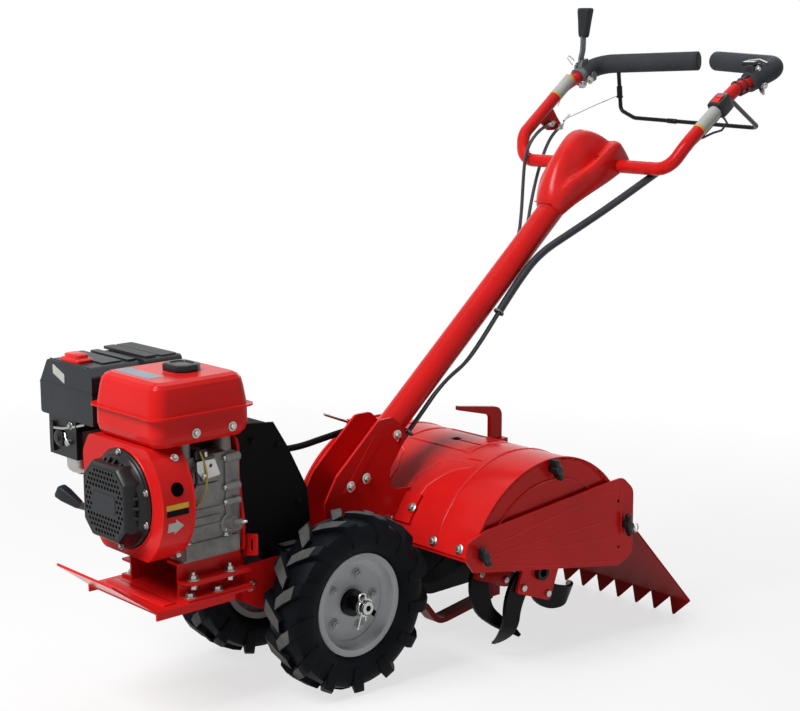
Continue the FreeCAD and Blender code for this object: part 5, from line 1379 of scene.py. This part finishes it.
class TILLER_OT_clutch(bpy.types.Operator):
    """Hang the clutch bail and its cable ends from the bar"""

    bl_idname = "tiller.clutch"
    bl_label = "Clutch bail"

    def execute(self, context):
        m = Maker("handle")
        gusset = rounded([(-842, 932, 3), (-880, 960, 3), (-922, 912, 3), (-868, 912, 3)])
        m.plate(gusset, [round_hole(-868, 932, 3.4), round_hole(-892, 922, 3.4)], "y", -219.2, -216.2)
        m.piece("cable_gusset", "red", 0.4)
        adjuster = [
            (0, 2.2), (8, 2.2), (8, 4.6), (12, 4.6), (12, 6.8), (18, 6.8), (18, 4.6), (26, 4.6), (27, 3.8),
            (34, 3.8),
        ]
        for cable in (RIGHT_SHIFT_CABLE, RIGHT_CLUTCH_CABLE):
            a, b = V(*cable[0]), V(*cable[1])
            run = (b - a).normalized()
            m.turned(a - run * 16, run, adjuster, 6)
        m.piece("cable_adjusters", "zinc", 0.2)
        m.tube([(-1072, -193, 982), (-1010, -205, 962), (-924, -213, 935), (-912, -211, 926)], 1.1, 8)
        m.tube([(-934, -213, 943), (-914, -212, 930)], 2.4, 10)
        m.piece("clutch_wire", "steel")
        clamp = [(-12, 5.4), (-11, 6.2), (9, 6.2), (10, 7.4), (13, 7.4), (14, 5.4)]
        m.turned((-1072.6, -191, 990), (-0.09, 0.0, -1), clamp, 20)
        m.turned((-1076, -60, 931), (0, 1, -0.03), [(0, 4.9), (1, 5.5), (24, 5.5), (25, 4.9)], 18)
        m.piece("bail_collars", "black_paint")
        bail = [
            (-1068, -192, 1040), (-1077, -190, 950), (-1076, -150, 934), (-1076, 175, 924), (-925, 217, 982.5),
        ]
        m.tube(bent(bail, [14, 25, 25]), 4.5, 14)
        m.piece("bail_rod", "black_paint", 0, "clutch_bail", 60)
        return {"FINISHED"}


class TILLER_OT_switch(bpy.types.Operator):
    """Clip the stop switch and its leads to the left arm"""

    bl_idname = "tiller.switch"
    bl_label = "Stop switch"

    def execute(self, context):
        point, run = arm_point(-886, 1, 2)
        up = Y.cross(run).normalized()
        if up.z < 0:
            up = -up
        cross = run.cross(up)
        m = Maker("handle")
        case = [
            (t, rounded(oblong(-half, -half, half, half, 6)))
            for t, half in ((-19, 14.62), (-17.5, 16.32), (-10, 17), (10, 17), (17.5, 16.32), (19, 14.62))
        ]
        m.loft([[point + run * t + cross * p.x + up * p.y for p in outline] for t, outline in case])
        m.piece("switch_case", "black_plastic", 0, "switch_box", 45)
        for ends in (((-12, 17.6), (-0.6, 20.0)), ((0.6, 20.0), (12, 17.6))):
            m.loft([
                [point + run * t + cross * u + up * v for u, v in ((-9, 15), (9, 15), (9, top), (-9, top))]
                for t, top in ends
            ])
        m.piece("switch_rocker", "red_shell", 1.2)
        m.tube([
            (-893, 214, 957), (-905, 214, 950), (-926, 206, 940), (-916, 201, 926), (-890, 200, 922),
            (-868, 190, 912),
        ], 2.4, 10)
        for x in (-932, -948):
            p, d = arm_point(x, 1, 3)
            u, v = across(d)
            m.tube([p + (u * c + v * s) * 14.4 for c, s in spokes(24)], 1.5, 8, closed=True)
        m.tube([(-925, 217, 1016), (-948, 226, 1026), (-972, 232, 1040)], 2.6, 10)
        m.tube([(-929, 232, 994), (-952, 240, 1004), (-974, 242, 1012)], 2.2, 10)
        m.piece("switch_leads", "sheath")
        return {"FINISHED"}


class TILLER_OT_throttle(bpy.types.Operator):
    """Clamp the throttle lever to the left arm"""

    bl_idname = "tiller.throttle"
    bl_label = "Throttle"

    def execute(self, context):
        point, run = arm_point(-980, 1, 3)
        m = Maker("handle")
        clamp = [(0, 13.3), (0, 17.5), (1, 18.4), (15, 18.4), (16, 17.5), (16, 13.3)]
        m.turned(point - run * 8, run, clamp, 28, loop=True)
        m.prism([(-1000, 1034, 5), (-960, 1030, 5), (-962, 1052, 6), (-996, 1056, 6)], "y", 220, 234)
        m.prism([(-984, 1050, 3), (-966, 1048, 3), (-966, 1058, 3), (-984, 1060, 3)], "y", 206, 234)
        m.piece("throttle_body", "black_plastic", 1.0, "throttle_lever")
        m.tube([(-974, 204, 1056), (-986, 212, 1060), (-998, 226, 1062), (-1004, 240, 1056)], 2.4, 10)
        m.bolt((-980, 234, 1044), Y, 9)
        m.bolt((-988, 246, 1012), (0.3, 0.7, -0.6), 9)
        m.turned((-990, 238, 1006), (0.3, 0.6, -0.7), [(-8, 5), (8, 5), (8, 3.4), (14, 3.2)], 14)
        m.piece("throttle_metal", "zinc")
        return {"FINISHED"}


class TILLER_OT_bar_bands(bpy.types.Operator):
    """Wrap plain bands on the handlebar's arms"""

    bl_idname = "tiller.bar_bands"
    bl_label = "Plain bands"

    def execute(self, context):
        edge, inner, outer = 5, BAR_R - 0.3, BAR_R + 0.25
        m = Maker("handle")
        for side, word, x0, x1 in ((1, "left", -822, -878), (-1, "right", -893, -944)):
            a, run = arm_point(x0, side, 2)
            length = (arm_point(x1, side, 2)[0] - a).length
            bands = (
                ("edge_low", 0, edge, "label_yellow"), ("field", edge, length - edge, "label"),
                ("edge_high", length - edge, length, "label_yellow"),
            )
            for part, t0, t1, finish in bands:
                m.turned(a, run, [(t0, inner), (t0, outer), (t1, outer), (t1, inner)], 36, loop=True)
                m.piece(word + "_band_" + part, finish)
        return {"FINISHED"}


def round_rotor(radius, degrees, y):
    """Point about the rotor's axis by radius and angle up from the front."""
    a = math.radians(degrees)
    return V(ROTOR[0] + radius * math.cos(a), y, ROTOR[1] + radius * math.sin(a))


class TILLER_OT_shroud(bpy.types.Operator):
    """Press the tine shroud's ridges, rims and slot"""

    bl_idname = "tiller.shroud"
    bl_label = "Tine shroud"

    def execute(self, context):
        r = SHROUD_R + 0.1
        m = Maker("chassis")
        for side in SIDES:
            m.ridge("y", ROTOR, r, [(side * 146, 24), (side * 146, 150)], 9, 2.0, 40)
            low = ((60, 32), (66, 48), (92, 60), (128, 66))
            high = ((26, 40), (30, 52), (54, 64), (100, 71), (134, 72))
            for line in (low, high):
                m.ridge("y", ROTOR, r, [(side * y, degrees) for y, degrees in line], 8, 1.6, 10)
        for degrees in (76, 104):
            m.ridge("y", ROTOR, r, [(-82, degrees), (82, degrees)], 8, 1.8, 24)
        for y in (-82, 82):
            m.ridge("y", ROTOR, r, [(y, 75), (y, 105)], 8, 1.8, 16)
        for side in SIDES:
            rim = (side * END_PLATE_Y, side * 240)
            m.wrap("y", ROTOR, SHROUD_R - 3.4, SHROUD_R + 2.4, (20, 167), rim, 72)
        m.piece("shroud_ridges", "red", smooth=40)
        m.wrap("y", ROTOR, r - 0.2, r + 0.35, (84.6, 88.4), (0, 15), 8)
        m.wrap("y", ROTOR, r - 0.2, r + 0.3, (85.6, 86.2), (15, 74), 4)
        # Near-black strips over the shroud: painted shade of its slot.
        m.piece("shroud_slot_shade", "hole")
        for y, degrees, lift in (
            (66, 34.5, 5.4), (-66, 34.5, 0.4),
            (140, 22.6, 0.4), (-140, 22.6, 0.4), (206, 22.6, 0.4), (-206, 22.6, 0.4),
        ):
            at = round_rotor(SHROUD_R + lift, degrees, y)
            m.bolt(at, at - V(ROTOR[0], y, ROTOR[1]), 11)
        m.piece("shroud_bolts", "zinc", 0.2)
        for side in SIDES:
            ring = [(x, side * (END_PLATE_Y + 0.2), z) for x, z in arc(*ROTOR, 178, 32, 144, 40)]
            m.tube(ring, 2.2, 8)
        m.piece("end_plate_beads", "red")
        return {"FINISHED"}


def wing_knob(m, side, x, z, y, turn, reach):
    """Two-winged knob on a boss that stands out by reach."""
    base = V(x, side * y, z)
    boss = [(0, 8.6), (4, 8.6), (5, 9.6), (reach - 8, 9.2), (reach - 2, 8.4), (reach, 6.0)]
    m.turned(base, (0, side, 0), boss, 24)
    a = math.radians(turn)
    run = V(math.cos(a), 0, math.sin(a))
    cross = V(-run.z, 0, run.x)
    wing = (
        (4, 5.2, 4, reach - 2), (12, 5.0, 5, reach - 1), (19, 4.2, 6, reach - 1), (22.5, 2.4, 8, reach - 3),
    )
    for end in SIDES:
        rings = []
        for t, w, low, high in wing:
            middle = base + run * (end * t)
            section = ((-1, low), (1, low), (1, high - 1.5), (0.6, high), (-0.6, high), (-1, high - 1.5))
            rings.append([middle + cross * (w * s) + V(0, side * d, 0) for s, d in section])
        m.loft(rings)


class TILLER_OT_side_shields(bpy.types.Operator):
    """Press the side shields' folds and fit their wing knobs"""

    bl_idname = "tiller.side_shields"
    bl_label = "Side shields"

    def execute(self, context):
        m = Maker("chassis")
        folds = (
            [(-232, 228), (-400, 252), (-566, 268)], [(-240, 214), (-400, 214), (-560, 214)],
            [(-240, 204), (-400, 190), (-560, 180)], [(-248, 192), (-400, 158), (-560, 132)],
            [(-584, 272), (-588, 200), (-592, 134)],
        )
        for side in SIDES:
            for line in folds:
                m.tube([(x, side * (SHIELD_Y - 0.4), z) for x, z in line], 1.4, 8)
        m.piece("shield_folds", "red")
        for side in SIDES:
            m.turned((-578, side * SHIELD_Y, 246), (0, side, 0), [(0, 3.4), (0.3, 3.2)], 14)
            m.turned((-582, side * SHIELD_Y, 155), (0, side, 0), [(0, 3.0), (0.3, 2.8)], 14)
        # Thin near-black discs on the shields: painted shade of their holes.
        m.piece("shield_hole_shade", "hole")
        for side in SIDES:
            wing_knob(m, side, -398, 340, END_PLATE_Y, 66, 24)
            wing_knob(m, side, -210, 218, SHIELD_Y + 0.1, 60, 17.5)
            wing_knob(m, side, -598, 197, SHIELD_Y + 0.1, 82, 17.5)
        m.piece("wing_knobs", "black_plastic", 0.9, "shield_knobs")
        m.tube([(-629 + 5.5 * c, 246.6, 184 + 8 * s) for c, s in spokes(20)], 1.3, 8, closed=True)
        m.turned((-624.2, 242, 183.2), Y, [(0, 3.2), (5, 3.2), (6, 2.2)], 14)
        m.piece("hinge_clip", "steel")
        return {"FINISHED"}


TINE_BOLT_CIRCLE = 50.0
TINE_ROOT_R, TINE_REACH, TINE_CURL = 36.0, 119.0, 46.0


def sickle(m, tip_degrees, sweep, face, out, bend, steps=18):
    """One tine: a broad root on its flange, swept back and curled sideways to a narrow tip."""
    path = []
    for k in range(steps + 1):
        u = k / steps
        curl = max(0.0, (u - 0.5) / 0.5)
        radius = TINE_ROOT_R + TINE_REACH * u ** 0.92 - 3 * curl ** 3
        aside = bend * TINE_CURL * curl * curl * (1.5 - 0.5 * curl)
        path.append(round_rotor(radius, tip_degrees + sweep * (1 - u) ** 1.6, face - out * 4 + aside))
    rings = []
    for k, p in enumerate(path):
        u = k / steps
        run = (path[min(k + 1, steps)] - path[max(k - 1, 0)]).normalized()
        spoke = V(p.x - ROTOR[0], 0, p.z - ROTOR[1]).normalized()
        around = V(-spoke.z, 0, spoke.x)
        edge = (around - run * around.dot(run)).normalized()
        through = run.cross(edge)
        wide = (50 - 30 * min(1.0, u / 0.6)) / 2 + 7 * math.sin(math.pi * u)
        wide -= 6.5 * max(0.0, (u - 0.7) / 0.3) ** 1.5
        thick = 3.8 - 2.2 * max(0.0, (u - 0.6) / 0.4)
        corners = ((wide, thick), (wide, -thick), (-wide, -thick), (-wide, thick))
        rings.append([p + edge * w + through * t for w, t in corners])
    m.loft(rings)


class TILLER_OT_rotor(bpy.types.Operator):
    """Bolt the tines to the rotor flanges"""

    bl_idname = "tiller.rotor"
    bl_label = "Rotor"

    def execute(self, context):
        m = Maker("rotor")
        for y in (104, 212, -104, -212):
            out = 1 if y > 0 else -1
            for degrees in (66, 156, 246, 336):
                m.bolt(round_rotor(TINE_BOLT_CIRCLE, degrees, y + out * 3.2), (0, out, 0), 12, washer=False)
        m.piece("tine_bolts", "zinc", 0.3)
        for side in SIDES:
            for k in range(4):
                sickle(m, -64.5 + 90 * k, 48, side * 209, side, -side)
                sickle(m, -9.5 + 90 * k, 72, side * 101, side, side if k % 2 else -side)
        m.piece("sickle_tines", "tine_paint", 0.7, "rotor_tines", 50)
        return {"FINISHED"}


class TILLER_OT_comb(bpy.types.Operator):
    """Roll the levelling comb's lower edge"""

    bl_idname = "tiller.comb"
    bl_label = "Levelling comb"

    def execute(self, context):
        m = Maker("comb")
        m.tube([(-786, -238, 17.5), (-786, 238, 17.5)], 2.0, 8)
        # The bead takes the comb's red, darkened as painted shade.
        m.piece("comb_bead", "comb_red_painted_shade")
        return {"FINISHED"}


# ------------------------------------------------------------------ add-on
STEPS = (
    TILLER_OT_camera, TILLER_OT_stage, TILLER_OT_finishes, TILLER_OT_cables, TILLER_OT_wheels,
    TILLER_OT_base, TILLER_OT_engine, TILLER_OT_blower, TILLER_OT_recoil, TILLER_OT_tank, TILLER_OT_intake,
    TILLER_OT_belt_drive, TILLER_OT_bracket, TILLER_OT_console, TILLER_OT_grips, TILLER_OT_shift_lever,
    TILLER_OT_clutch, TILLER_OT_switch, TILLER_OT_throttle, TILLER_OT_bar_bands, TILLER_OT_shroud,
    TILLER_OT_side_shields, TILLER_OT_rotor, TILLER_OT_comb,
)


class TILLER_PT_panel(bpy.types.Panel):
    """Sidebar panel that lists the sizes, colours and build steps"""

    bl_idname = "TILLER_PT_panel"
    bl_label = "Garden tiller"
    bl_space_type = "VIEW_3D"
    bl_region_type = "UI"
    bl_category = "Tiller"

    def draw(self, context):
        layout = self.layout
        for group in (context.scene.tiller_sizes, context.scene.tiller_colours):
            for name in group.__annotations__:
                layout.prop(group, name)
        for step in STEPS:
            layout.operator(step.bl_idname)


CLASSES = (TillerSizes, TillerColours) + STEPS + (TILLER_PT_panel,)


def register():
    """Add the classes and the scene's settings."""
    for cls in CLASSES:
        bpy.utils.register_class(cls)
    bpy.types.Scene.tiller_sizes = PointerProperty(type=TillerSizes)
    bpy.types.Scene.tiller_colours = PointerProperty(type=TillerColours)


def unregister():
    """Remove them again."""
    del bpy.types.Scene.tiller_colours
    del bpy.types.Scene.tiller_sizes
    for cls in reversed(CLASSES):
        bpy.utils.unregister_class(cls)


def main():
    """Build every piece in order."""
    register()
    for step in STEPS:
        getattr(bpy.ops.tiller, step.bl_idname.split(".")[1])()


if __name__ == "__main__":
    main()
